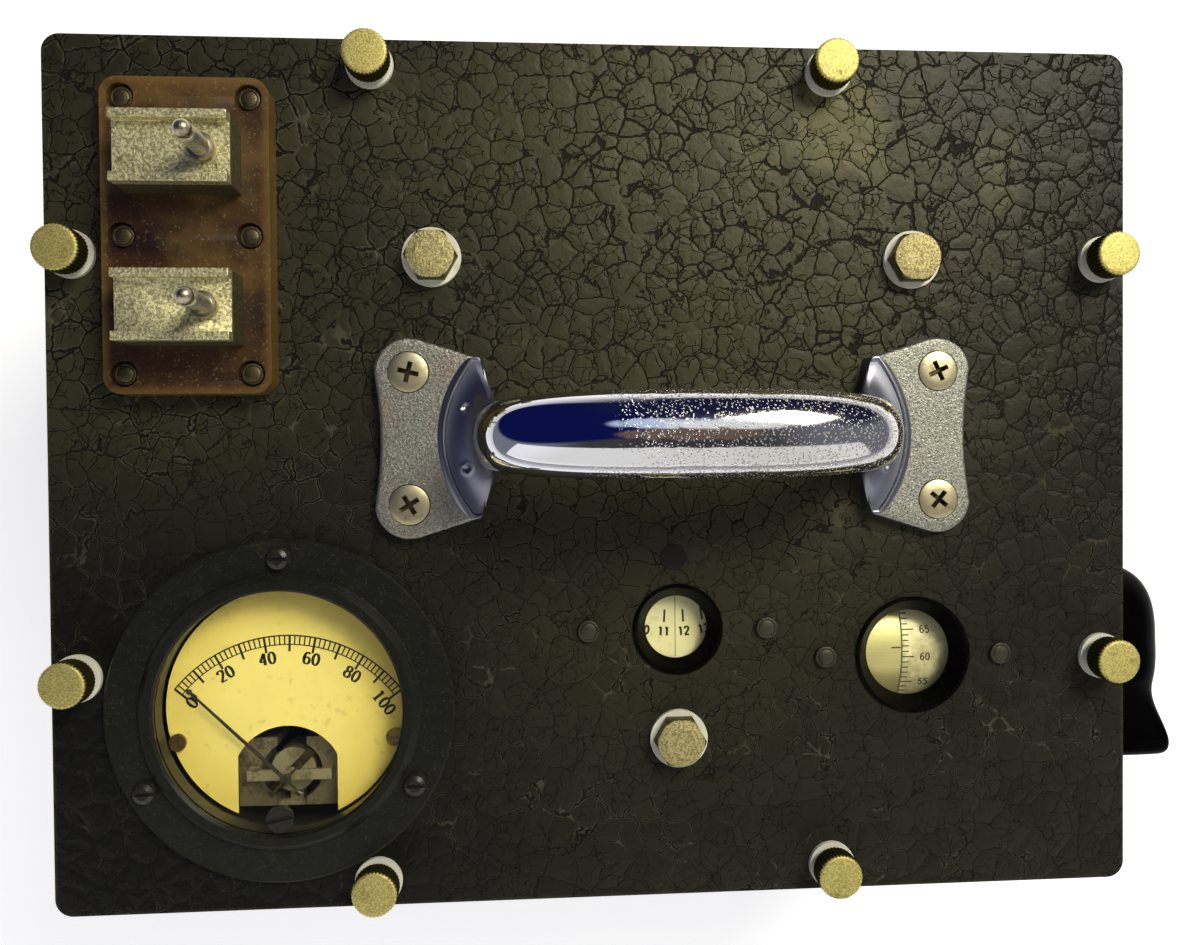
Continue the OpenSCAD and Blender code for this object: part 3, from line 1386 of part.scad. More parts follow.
module worm() {
  color([0.55, 0.55, 0.57]) translate([axis_x, drive_y, drive_z]) difference() {
    union() {
      worm_thread();
      rotate([0, 90, 0]) cylinder(r = worm_root_r, h = worm_l, center = true);
    }
    rotate([0, 90, 0]) cylinder(r = drive_shaft_r + seat_gap, h = 2 * worm_l, center = true);
  }
}

module worm_shaft() {
  color([0.68, 0.68, 0.70]) on_drive(shaft_left)
    cylinder(r = drive_shaft_r, h = shaft_right - shaft_left - slide_gap);
}

// Two upright bearings, each with a foot on the top plate
module worm_bearings() {
  height = drive_z - top_plate_top;
  color([0.70, 0.70, 0.68]) for (side = [-1, 1]) difference() {
    union() {
      on_drive(axis_x + side * bearing_x) cylinder(r = bearing_r, h = bearing_t, center = true);
      translate([axis_x + side * bearing_x, drive_y, top_plate_top + height / 2])
        cube([bearing_t, 2 * bearing_r, height], center = true);
      translate([axis_x + side * (bearing_x + (bearing_foot_w - bearing_t) / 2), drive_y,
        top_plate_top + bearing_foot_t / 2]) cube([bearing_foot_w, 2 * bearing_r, bearing_foot_t],
          center = true);
    }
    on_drive(axis_x + side * bearing_x) cylinder(r = drive_shaft_r + run_gap, h = 2 * bearing_t,
      center = true);
  }
}

// Fixed sleeve that carries the index line, on a neck bolted to the right bearing
module index_sleeve() {
  neck_in = drive_shaft_r + hole_gap;
  neck_flange = neck_left + sleeve_web_t;
  color([0.78, 0.78, 0.76]) on_drive(0) rotate_extrude($fn = 120) polygon([[neck_in, neck_left],
    [bearing_r, neck_left], [bearing_r, neck_flange], [sleeve_neck_r, neck_flange],
      [sleeve_neck_r, sleeve_left],
    [drum_r, sleeve_left], [drum_r, sleeve_right], [drum_r - drum_wall, sleeve_right],
    [drum_r - drum_wall, sleeve_left + sleeve_web_t], [neck_in, sleeve_left + sleeve_web_t]]);
}

// Drum with a hundred divisions round its left end
module graduated_drum() {
  left = drum_window[0];
  right = left + drum_l;
  bore = drive_shaft_r + seat_gap;
  color([0.80, 0.80, 0.78]) on_drive(0) rotate_extrude($fn = 120)
    polygon([[drum_r, left], [drum_r, right - drum_edge],
    [drum_r - drum_edge, right], [drum_hub_r, right], [drum_hub_r, right + drum_hub_l],
      [bore, right + drum_hub_l],
    [bore, right - sleeve_web_t], [drum_r - drum_wall, right - sleeve_web_t], [drum_r - drum_wall, left]]);
}

module wall_bushing() {
  inside = case_side - wall_t;
  end = case_side + crank_gap / 2;
  flange_r = bushing_r + bushing_flange;
  color([0.72, 0.60, 0.32]) on_drive(0) rotate_extrude()
    polygon([[drive_shaft_r + run_gap, inside - bushing_flange],
    [flange_r, inside - bushing_flange], [flange_r, inside], [bushing_r, inside], [bushing_r, end],
    [drive_shaft_r + run_gap, end]]);
}

// Height and half width of the crank at a distance u from the shaft: hub, saddle, and finger grip
function smooth(t) = let (c = min(max(t, 0), 1)) c * c * (3 - 2 * c);
function roll(u) = let (d = max(u - roll_out, 0))
  finger_round - sqrt(max(finger_round * finger_round - d * d, 0));
function crank_l(u) = u < brow_out
  ? hub_l * pow(1 - pow((brow_out - u) / (hub_r + brow_out), hub_power), 1 / hub_power)
  : u < saddle_out ? saddle_l + (hub_l - saddle_l) * smooth((saddle_out - u) / (saddle_out - brow_out))
  : saddle_l + (crank_reach - saddle_l) * smooth((u - saddle_out) / (finger_out - saddle_out)) - roll(u);
function crank_w(u) = u < neck_out ? sqrt(hub_r * hub_r - u * u)
  : let (run = crank_arm - neck_out, t = (u - neck_out) / run)
  finger_r + (neck_w - finger_r) * (1 - smooth(t)) - run * neck_out / neck_w * t * (1 - t) * (1 - t);
function crank_power(u) = section_power + (finger_power - section_power) * smooth(u / crank_arm);
function crank_ring(u, w) = let (l = crank_l(u) - crank_gap, p = 2 / crank_power(u))
  [for (k = [0 : arm_sides]) let (a = 180 - 180 * k / arm_sides)
    [crank_gap + l * pow(sin(a), p), -u, w * sign(cos(a)) * pow(abs(cos(a)), p)]];
function crank_places() = concat([for (i = [1 : hub_steps]) -hub_r * cos(hub_turn * i / hub_steps)],
  [for (i = [1 : arm_steps]) neck_out + (crank_arm - neck_out) * i / arm_steps]);
function crank_tip() = [for (i = [1 : tip_steps]) let (a = tip_turn * i / tip_steps)
  crank_ring(crank_arm + finger_r * sin(a), finger_r * cos(a))];

// Moulded crank in one with its finger grip
module crank_knob() {
  color([0.05, 0.05, 0.05]) difference() {
    translate([case_side, drive_y, drive_z])
      skin(concat([for (u = crank_places()) crank_ring(u, crank_w(u))], crank_tip()));
    on_drive(crank_left - cut) cylinder(r = drive_shaft_r + seat_gap, h = crank_seat + cut);
    translate([crank_left + set_screw_x, drive_y, drive_z])
      cylinder(r = set_screw_r + seat_gap, h = hub_r + cut);
  }
}

module crank_set_screw() {
  color([0.35, 0.35, 0.36]) translate([crank_left + set_screw_x, drive_y,
    drive_z + drive_shaft_r + seat_gap]) difference() {
    cylinder(r = set_screw_r, h = set_screw_l);
    translate([0, 0, set_screw_l]) cube([3 * set_screw_r, slot_w / 2, 2 * slot_d], center = true);
  }
}

case();
feet();
foot_screws();
panel();
panel_thumbscrews();
thumbscrew_washers();
handle();
handle_screws();
handle_nuts();
condenser_bolts();
condenser_washers();
terminal_plate();
terminal_rivets();
coil_blocks();
coil_plugs();
coil_block_nuts();
stator_lead();
rotor_lead();
window_bezels();
window_glasses();
window_rivets();
panel_plug();
meter_front();
meter_glass();
meter_screws();
meter_scale_plate();
meter_scale_screws();
meter_pointer();
meter_coil();
meter_core();
meter_pole_pieces();
meter_magnet();
meter_bridge();
meter_case();
meter_terminals();
thermocouple();
zero_corrector();
panel_posts();
top_end_plate();
frame_pillars();
bottom_end_plate();
pillar_nuts();
stator_plates();
stator_rods();
insulators();
upper_bearing();
lower_bearing();
rotor_shaft();
rotor_plates();
rotor_collars();
worm_wheel();
main_dial();
worm();
worm_shaft();
worm_bearings();
index_sleeve();
graduated_drum();
wall_bushing();
crank_knob();
crank_set_screw();
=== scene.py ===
"""Looks of a wavemeter: a crackle-black case with a cast handle, two coil plugs, a thermo meter, and a
variable condenser whose dial and worm drum are read through two windows."""
import math

import bmesh
import bpy
import numpy as np
from mathutils import Matrix, Vector


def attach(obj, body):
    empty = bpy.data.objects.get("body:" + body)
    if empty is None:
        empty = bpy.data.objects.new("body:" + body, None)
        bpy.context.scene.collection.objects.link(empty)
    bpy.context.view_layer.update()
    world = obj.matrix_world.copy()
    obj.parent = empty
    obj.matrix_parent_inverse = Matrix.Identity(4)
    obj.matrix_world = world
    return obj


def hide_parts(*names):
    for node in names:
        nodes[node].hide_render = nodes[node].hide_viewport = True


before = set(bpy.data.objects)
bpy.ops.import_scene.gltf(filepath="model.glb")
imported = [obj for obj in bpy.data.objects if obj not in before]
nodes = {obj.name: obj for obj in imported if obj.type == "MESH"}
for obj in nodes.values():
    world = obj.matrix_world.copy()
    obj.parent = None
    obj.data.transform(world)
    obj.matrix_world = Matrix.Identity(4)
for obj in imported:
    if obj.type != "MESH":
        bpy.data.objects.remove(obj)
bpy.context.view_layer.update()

# Places and sizes, in millimetres, in the frame of the case
MM = 0.001
TOP_Z = 141.0
CASE_X = -15.25
CASE_SIDE = 116.75
HALF_L = 132.0
HALF_W = 104.5
ROTOR = (2.35, 8.7)
DRIVE = (-46.3, 111.6)
WASHER_T = 1.2
THUMBSCREWS = [(CASE_X + x, y) for x in (-55.8, 55.8) for y in (-98.3, 98.3)] + \
    [(CASE_X + x, y) for x in (-125.8, 125.8) for y in (-47.5, 52.7)]
METER = (-93.55, -56.2)
PIVOT = (-93.55, -73.7)
SCALE_Z = 136.4
NEEDLE_REACH, NEEDLE_ANGLE, NEEDLE_Z = 31.4, 135.8, 138.8
MAIN_WINDOW = (2.35, -38.7)
MAIN_RIVET_DX, DRUM_RIVET_DX = 22.1, 22.4
PLATE, PLATE_HALF, PLATE_RIVETS = (-112.5, 55.9), (19.05, 36.5), (14.45, 31.9)
PLUGS = [(-105.5, 73.35), (-105.5, 38.45)]
GLASS_LOW = 136.0
DIAL_TOP = 134.0
DIAL_STEP = 6.0
DIAL_READS = 11.52
DRUM_R = 22.4
DRUM_LEFT = 61.75
DRUM_STEP = 3.6
DRUM_READS = 61.4
MARK_H = 0.04
CREASE = 35


# Meshes
def grid_faces(rows, columns):
    """Four-sided faces between neighbouring points of a grid whose rows close into rings."""
    row, column = np.meshgrid(np.arange(rows - 1), np.arange(columns), indexing="ij")
    after = (column + 1) % columns
    corners = (row * columns + column, row * columns + after, (row + 1) * columns + after,
               (row + 1) * columns + column)
    return np.stack(corners, -1).reshape(-1, 4)


def skin(rings):
    """Points and faces of a skin over a stack of rings, closed by a fan to the middle of each end."""
    rows, columns = rings.shape[:2]
    points = np.concatenate([rings.reshape(-1, 3), rings[:1].mean(1), rings[-1:].mean(1)])
    k = np.arange(columns)
    after = (k + 1) % columns
    top = (rows - 1) * columns
    start = np.stack([np.full(columns, rows * columns), after, k], -1)
    end = np.stack([np.full(columns, rows * columns + 1), top + k, top + after], -1)
    return points, grid_faces(rows, columns).tolist() + start.tolist() + end.tolist()


def joined(parts):
    """Points and faces of several skins put into one."""
    points, faces, count = [], [], 0
    for own_points, own_faces in parts:
        points.append(own_points)
        faces += [[corner + count for corner in face] for face in own_faces]
        count += len(own_points)
    return np.concatenate(points), faces


def turned(profile, place, sides=96):
    """Skin of a profile of radius and height carried round an upright axis: x = r cos a, y = r sin a."""
    profile = np.asarray(profile, float)
    a = np.linspace(0, 2 * math.pi, sides, endpoint=False)
    r = np.maximum(profile[:, :1], 1e-4)
    return skin(np.stack([place[0] + r * np.cos(a), place[1] + r * np.sin(a),
                          place[2] + profile[:, 1:] + 0 * a], -1))


def rounded(corners, radius, steps=6):
    """A profile with its inner corners rounded: each corner is a quadratic arc between two points that
    lie a radius before and behind it."""
    corners = np.asarray(corners, float)
    t = np.linspace(0, 1, steps + 1)[:, None]
    out = [corners[:1]]
    for before, corner, after in zip(corners, corners[1:], corners[2:]):
        a = corner + (before - corner) * min(radius / np.linalg.norm(before - corner), 0.5)
        b = corner + (after - corner) * min(radius / np.linalg.norm(after - corner), 0.5)
        out.append(a * (1 - t) ** 2 + corner * 2 * t * (1 - t) + b * t ** 2)
    return np.concatenate(out + [corners[-1:]])


def mesh_of(name, shape):
    """A mesh from points in millimetres and faces."""
    points, faces = shape
    mesh = bpy.data.meshes.new(name)
    mesh.from_pydata((np.asarray(points) * MM).tolist(), [], faces)
    return mesh


def placed_in_scene(name, data):
    """A new object that holds a mesh, a lamp or a camera."""
    made = bpy.data.objects.new(name, data)
    bpy.context.scene.collection.objects.link(made)
    return made


def piece(name, shape, finish, body="root", hides=(), crease=CREASE):
    """A finished piece from points in millimetres and faces, its faces turned outwards by the sign of the
    volume they enclose."""
    mesh = mesh_of(name, shape)
    work = bmesh.new()
    work.from_mesh(mesh)
    if work.calc_volume(signed=True) < 0:
        bmesh.ops.reverse_faces(work, faces=work.faces)
    work.to_mesh(mesh)
    work.free()
    return finished(placed_in_scene(name, mesh), finish, body, hides, crease)


def finished(made, finish, body="root", hides=(), crease=CREASE):
    """Gives a piece its material, its shading, the body it rides on and the nodes it stands for."""
    made.data.materials.clear()
    made.data.materials.append(finish)
    made.data.shade_smooth()
    made.data.set_sharp_from_angle(angle=math.radians(crease))
    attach(made, body)
    if hides:
        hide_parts(*hides)
    return made


def softened(node, finish, width):
    """A copy of a node with its loose triangles merged and its sharp edges rounded to a width."""
    work = bmesh.new()
    work.from_mesh(nodes[node].data)
    bmesh.ops.remove_doubles(work, verts=work.verts, dist=1e-6)
    bmesh.ops.dissolve_limit(work, angle_limit=math.radians(1), verts=work.verts, edges=work.edges)
    mesh = bpy.data.meshes.new(node + "_soft")
    work.to_mesh(mesh)
    work.free()
    made = placed_in_scene(node + "_soft", mesh)
    bevel = made.modifiers.new("edges", "BEVEL")
    bevel.width = width * MM
    bevel.segments = 3
    bevel.limit_method = "ANGLE"
    bevel.angle_limit = math.radians(40)
    bevel.use_clamp_overlap = True
    bevel.harden_normals = False
    return finished(made, finish, hides=[node])


def cut_away(made, shapes):
    """Takes closed skins away from a piece, for countersinks and bores."""
    mesh = mesh_of("cutter", joined(shapes))
    work = bmesh.new()
    work.from_mesh(mesh)
    bmesh.ops.recalc_face_normals(work, faces=work.faces)
    work.to_mesh(mesh)
    work.free()
    cutter = placed_in_scene("cutter", mesh)
    cut = made.modifiers.new("cut", "BOOLEAN")
    cut.operation = "DIFFERENCE"
    cut.solver = "EXACT"
    cut.object = cutter
    view = bpy.context.evaluated_depsgraph_get()
    result = bpy.data.meshes.new_from_object(made.evaluated_get(view))
    made.modifiers.clear()
    made.data = result
    made.data.set_sharp_from_angle(angle=math.radians(CREASE))
    bpy.data.objects.remove(cutter)


# Figures and scale lines
# Centre lines of the numerals on a body 0.6 wide and 1 high. A stroke is a list of points, and a smooth
# one runs through them in a curve.
ROUND = [(0.3 + 0.24 * math.sin(a), 0.5 + 0.46 * math.cos(a)) for a in np.linspace(0, 2 * math.pi, 25)]
SIX = [(0.5, 0.86), (0.38, 0.96), (0.22, 0.91), (0.09, 0.66), (0.07, 0.36), (0.15, 0.1), (0.3, 0.03),
       (0.46, 0.1), (0.53, 0.3), (0.46, 0.51), (0.31, 0.58), (0.15, 0.49), (0.08, 0.33)]
STROKES = {
    "0": [("smooth", ROUND)],
    "1": [("straight", [(0.3, 0.0), (0.3, 0.97)]), ("straight", [(0.3, 0.97), (0.12, 0.8)]),
          ("straight", [(0.12, 0.02), (0.48, 0.02)])],
    "I": [("straight", [(0.34, 0.0), (0.34, 0.97)]), ("straight", [(0.34, 0.97), (0.14, 0.8)])],
    "2": [("smooth", [(0.07, 0.74), (0.12, 0.9), (0.3, 0.97), (0.48, 0.88), (0.5, 0.68), (0.34, 0.4),
                      (0.07, 0.04)]), ("straight", [(0.05, 0.04), (0.55, 0.04)])],
    "3": [("smooth", [(0.08, 0.82), (0.2, 0.95), (0.38, 0.94), (0.49, 0.78), (0.43, 0.6), (0.25, 0.53)]),
          ("smooth", [(0.25, 0.53), (0.46, 0.46), (0.54, 0.27), (0.42, 0.07), (0.22, 0.03), (0.06, 0.15)])],
    "4": [("straight", [(0.42, 0.0), (0.42, 0.97)]), ("straight", [(0.42, 0.97), (0.04, 0.28)]),
          ("straight", [(0.04, 0.28), (0.58, 0.28)])],
    "5": [("straight", [(0.5, 0.95), (0.14, 0.95)]), ("straight", [(0.14, 0.95), (0.1, 0.54)]),
          ("smooth", [(0.1, 0.54), (0.28, 0.62), (0.47, 0.52), (0.53, 0.3), (0.42, 0.08), (0.22, 0.03),
                      (0.06, 0.13)])],
    "6": [("smooth", SIX)],
    "7": [("straight", [(0.05, 0.94), (0.54, 0.94)]), ("smooth", [(0.54, 0.94), (0.38, 0.6), (0.26, 0.3),
                                                                 (0.2, 0.0)])],
    "8": [("smooth", [(0.3 + 0.19 * math.sin(a), 0.75 + 0.21 * math.cos(a))
                      for a in np.linspace(0, 2 * math.pi, 21)]),
          ("smooth", [(0.3 + 0.23 * math.sin(a), 0.28 + 0.25 * math.cos(a))
                      for a in np.linspace(0, 2 * math.pi, 21)])],
    "9": [("smooth", [(0.6 - x, 1 - y) for x, y in SIX])],
}


def curve_through(points, steps=5):
    """Points of a curve through the given ones, each span a cubic led by its neighbours."""
    p = np.asarray(points, float)
    closed = np.allclose(p[0], p[-1])
    before = p[-2:-1] if closed else 2 * p[:1] - p[1:2]
    after = p[1:2] if closed else 2 * p[-1:] - p[-2:-1]
    q = np.concatenate([before, p, after])
    t = np.linspace(0, 1, steps, endpoint=False)[:, None]
    spans = [0.5 * (2 * b + (c - a) * t + (2 * a - 5 * b + 4 * c - d) * t ** 2
                    + (3 * b - a - 3 * c + d) * t ** 3) for a, b, c, d in zip(q, q[1:], q[2:], q[3:])]
    return np.concatenate(spans + [p[-1:]])


def band(path, thick, thin):
    """Closed skin of a flat band along a path, as wide as thin where the path runs across and as thick
    where it runs up and down, and raised by the height of a mark."""
    path = np.asarray(path, float)
    way = np.gradient(path, axis=0)
    way /= np.maximum(np.linalg.norm(way, axis=1, keepdims=True), 1e-9)
    half = 0.5 * (thin + (thick - thin) * np.abs(way[:, 1:]) ** 1.5)
    side = np.stack([-way[:, 1], way[:, 0]], -1) * half
    low, high = np.zeros((len(path), 1)), np.full((len(path), 1), MARK_H)
    rings = np.stack([np.hstack([path + side, low]), np.hstack([path + side, high]),
                      np.hstack([path - side, high]), np.hstack([path - side, low])], 1)
    return skin(rings)


def number(text, size, thick, thin):
    """Bands of a number, centred on its own middle, with its digits a little apart."""
    step = 0.72 * size
    shapes = []
    for place, digit in enumerate(text):
        left = (place - (len(text) - 1) / 2) * step - 0.3 * size
        for kind, points in STROKES[digit]:
            points = np.asarray(points, float) * size + (left, -0.5 * size)
            path = curve_through(points) if kind == "smooth" else points
            shapes.append(band(path, thick, thin))
    return shapes


def line(a, b, width):
    """Band of one straight scale line."""
    steps = np.linspace(0, 1, 3)[:, None]
    return [band(np.asarray(a) * (1 - steps) + np.asarray(b) * steps, width, width)]


def laid_flat(shapes, place, angle, radius, z):
    """Flat bands carried out from a centre to a radius and turned with it: up on the band points away
    from the centre when the radius is positive, and towards it when it is negative."""
    c, s = math.cos(math.radians(angle)), math.sin(math.radians(angle))
    out, across = np.array([c, s]), np.array([s, -c])
    if radius < 0:
        across = -across
    moved = []
    for points, faces in shapes:
        way = 1 if radius > 0 else -1
        flat = np.array(place) + out * (abs(radius) + way * points[:, 1:2]) + across * points[:, :1]
        moved.append((np.column_stack([flat, z + points[:, 2]]), faces))
    return moved


def wrapped(shapes, x, angle):
    """Flat bands wrapped round the worm shaft: across stays along the shaft, up runs round the drum."""
    moved = []
    for points, faces in shapes:
        a = math.radians(angle) + points[:, 1] / DRUM_R
        r = DRUM_R + points[:, 2]
        moved.append((np.column_stack([x + points[:, 0], DRIVE[0] + r * np.sin(a),
                                       DRIVE[1] + r * np.cos(a)]), faces))
    return moved


def main_dial_marks():
    """A line and a number every six degrees; the dial turns half a turn from 0 to 30. Its ones are plain
    strokes without a foot."""
    shapes = []
    for count in range(31):
        angle = -90 + (count - DIAL_READS) * DIAL_STEP
        shapes += laid_flat(line((0, -1.6), (0, 1.6), 0.52), ROTOR, angle, -45.2, DIAL_TOP)
        figures = number(str(count).replace("1", "I"), 2.2, 0.56, 0.5)
        shapes += laid_flat(figures, ROTOR, angle, -49.1, DIAL_TOP)
    return joined(shapes)


def drum_marks():
    """A hundred lines from the drum's left edge, each fifth longer and numbered beside it."""
    shapes = []
    for count in range(100):
        angle = (count - DRUM_READS) * DRUM_STEP
        reach = 3.0 if count % 5 == 0 else 1.6
        shapes += wrapped(line((0, 0), (reach, 0), 0.3), DRUM_LEFT, angle)
        if count % 5 == 0:
            shapes += wrapped(number(str(count), 1.9, 0.34, 0.3), DRUM_LEFT + 5.9, angle)
    return joined(shapes)


def meter_marks():
    """Two fine arcs with fifty divisions between them, longer lines at each tenth and numbers at each
    twentieth, all about the needle's pivot."""
    first, last, outer, inner = 140.4, 36.8, 34.65, 32.45
    turn = np.radians(np.linspace(first, last, 121))
    shapes = []
    for radius, width in ((outer, 0.34), (inner, 0.26)):
        arc = np.stack([radius * np.cos(turn), radius * np.sin(turn)], -1) + PIVOT
        points, faces = band(arc, width, width)
        shapes.append((points + (0, 0, SCALE_Z), faces))
    for count in range(51):
        angle = first + (last - first) * count / 50
        low, width = (-3.9, 0.56) if count % 5 == 0 else (-2.2, 0.34)
        shapes += laid_flat(line((0, low), (0, 0.1), width), PIVOT, angle, outer, SCALE_Z)
    for value in range(0, 101, 20):
        angle = first + (last - first) * value / 100
        shapes += laid_flat(number(str(value), 3.0, 0.7, 0.34), PIVOT, angle, 29.4, SCALE_Z)
    return joined(shapes)


# Handle
HANDLE = (2.35, 8.7, TOP_Z)
GRIP_HALF_L, GRIP_Z, LEG_Z, LEG_HALF_T = 44.4, 33.0, 13.8, 2.8
GRIP_W, GRIP_END_W, GRIP_T, GRIP_END_T = 9.6, 7.4, 8.0, 6.2
FOOT_W = 19.3
CREST_Z, CREST = 4.2, (49.7, 7.2, 3.3, 2.0)
BASE = (47.6, 9.4, 1.2, 0.6)
INNER_POWER = 0.35
FLANGE_T = 3.2
HANDLE_SCREW = (64.8, 15.85)
GRIP_SIDES = 160
SINK_MARKS = [(51.0, -7.2), (51.0, 7.2)]


def foot_ring(z, share, spread=0.0):
    """Ring of a foot: a crescent of two tips, from the outline at the panel to that at the crest, and
    blended by a share towards the oval of the leg. A spread pushes its outer side away from the leg."""
    b = np.linspace(0, 2 * math.pi, GRIP_SIDES, endpoint=False)
    s = np.sin(b)
    base, crest = [tip + np.where(s < 0, out * np.abs(s) ** power, -inward * np.abs(s) ** INNER_POWER)
                   for tip, out, inward, power in (BASE, CREST)]
    x = base + (crest - base) * min(z / CREST_Z, 1) + np.where(s < 0, spread * np.abs(s) ** 0.5, 0)
    leg = GRIP_HALF_L - LEG_HALF_T * s
    return np.stack([x + (leg - x) * share, (FOOT_W + (GRIP_END_W - FOOT_W) * share) * np.cos(b),
                     np.full_like(b, z)], -1)


def foot_rings():
    """One foot from the panel up to its leg: a hidden base, a hollow fillet off the flange, a crisp
    crescent crest, and a valley that sweeps up the leg as z = 1 - cos and share = sin. Two sink marks
    dip in the valley, each a bell curve less a ring of another bell curve."""
    rings = [foot_ring(0.0, 0), foot_ring(1.5, 0), foot_ring(2.9, 0, 2.0)]
    for t in np.linspace(0, math.pi / 2, 12):
        rings.append(foot_ring(3.05 + 1.15 * (1 - math.cos(t)), 0, 2.2 * (1 - math.sin(t))))
    for t in np.linspace(0.15, 1, 5):
        rings.append(foot_ring(CREST_Z + 0.14 * math.sin(math.pi * t) - 0.4 * t * t, 0.1 * t))
    for t in np.linspace(0, math.pi / 2, 33)[1:-1]:
        rings.append(foot_ring(3.8 + 10 * (1 - math.cos(t)), 0.1 + 0.9 * math.sin(t)))
    rings = np.array(rings)
    for place in SINK_MARKS:
        far = np.linalg.norm(rings[..., :2] - place, axis=-1)
        rings[..., 2] += np.where(rings[..., 2] > 4.0, 0.3 * np.exp(-((far - 1.2) / 0.35) ** 2)
                                  - 0.7 * np.exp(-(far / 0.8) ** 2), 0)
    return rings


def arch_rings():
    """Ovals along the arch x = l cos^(2/3), z = h sin^(2/3), thicker at its middle, thin at the legs."""
    turn = np.linspace(0, math.pi, 181)

    def middle(a):
        c, s = np.cos(a), np.abs(np.sin(a))
        return np.stack([np.sign(c) * GRIP_HALF_L * np.abs(c) ** 0.667,
                         LEG_Z + (GRIP_Z - LEG_Z) * s ** 0.667], -1)
    centre = middle(turn)
    way = middle(np.minimum(turn + 0.01, math.pi)) - middle(np.maximum(turn - 0.01, 0))
    way /= np.linalg.norm(way, axis=1, keepdims=True)
    swell = np.abs(np.sin(turn)) ** 1.6
    half_w = GRIP_END_W + (GRIP_W - GRIP_END_W) * swell
    half_t = GRIP_END_T + (GRIP_T - GRIP_END_T) * swell \
        - (GRIP_END_T - LEG_HALF_T) * ((GRIP_Z - centre[:, 1]) / (GRIP_Z - LEG_Z)) ** 2
    b = np.linspace(0, 2 * math.pi, GRIP_SIDES, endpoint=False)
    lift = half_t[:, None] * np.sin(b)
    return np.stack([centre[:, :1] - way[:, 1:] * lift, half_w[:, None] * np.cos(b),
                     centre[:, 1:] + way[:, :1] * lift], -1)


def handle_grip():
    """Skin from the right foot over the arch to the left foot."""
    foot = foot_rings()
    other = foot[::-1] * (-1, 1, 1)
    return np.concatenate([foot, arch_rings(), other]) + HANDLE


def flange(side):
    """Cast flange of one foot: two round lobes, a hollow outer edge and sides that lean in, with a
    rounded upper edge. Its rows run up the side, over the edge and in to the middle."""
    lobe_r, run, half_w, hollow = 8.3, 16.0, 19.5, 1.5
    pitch = HANDLE_SCREW[1]
    tilt = math.atan((pitch + lobe_r - half_w) / run) + math.radians(2.5)
    hollow_r = (pitch ** 2 + hollow ** 2) / (2 * hollow)
    sweep = math.asin(pitch / hollow_r) * 0.82
    inner = np.linspace(-sweep, sweep, 21)
    lobe = np.linspace(math.pi * 0.97, math.pi / 2 - tilt, 26)
    bay = np.stack([-lobe_r + hollow - hollow_r + hollow_r * np.cos(inner), hollow_r * np.sin(inner)], -1)
    top = np.stack([lobe_r * np.cos(lobe), pitch + lobe_r * np.sin(lobe)], -1)
    side_line = np.linspace(top[-1], (run, half_w), 8)[1:]
    end_line = np.linspace((run, half_w), (run, -half_w), 20)[1:-1]
    outline = np.concatenate([bay, top, side_line, end_line, (side_line * (1, -1))[::-1],
                              (top * (1, -1))[::-1]])
    way = np.roll(outline, -1, 0) - np.roll(outline, 1, 0)
    inward = np.stack([way[:, 1], -way[:, 0]], -1) / np.linalg.norm(way, axis=1, keepdims=True)
    edge = 0.9
    rows = [np.column_stack([outline, np.zeros(len(outline))])]
    for t in np.linspace(0, math.pi / 2, 8):
        rows.append(np.column_stack([outline + inward * edge * (1 - math.cos(t)),
                                     np.full(len(outline), FLANGE_T - edge * (1 - math.sin(t)))]))
    rim = outline + inward * edge
    for t in (0.12, 0.35, 0.65, 0.9):
        rows.append(np.column_stack([rim * (1 - t) + np.array((4.0, 0)) * t,
                                     np.full(len(outline), FLANGE_T)]))
    rings = np.array(rows) * (-side, 1, 1)
    return skin(rings + np.add(HANDLE, (side * HANDLE_SCREW[0], 0, 0)))


# Crank
CRANK_HUB_R, CRANK_HUB_L, SADDLE_L, CRANK_REACH, CRANK_ARM = 19.4, 24.0, 23.1, 30.5, 30.0
FINGER_R, CRANK_GAP, BROW_OUT, NECK_OUT, NECK_W = 6.3, 1.2, 1.9, 12.0, 15.24
SADDLE_OUT, FINGER_OUT, FINGER_ROUND, ROLL_OUT = 14.1, 33.5, 2.5, 33.8
HUB_POWER, HUB_ROOT = 3.8, 0.263
SET_SCREW_X = 122.95


def eased(t):
    """Smooth step from 0 to 1."""
    t = np.clip(t, 0, 1)
    return t * t * (3 - 2 * t)


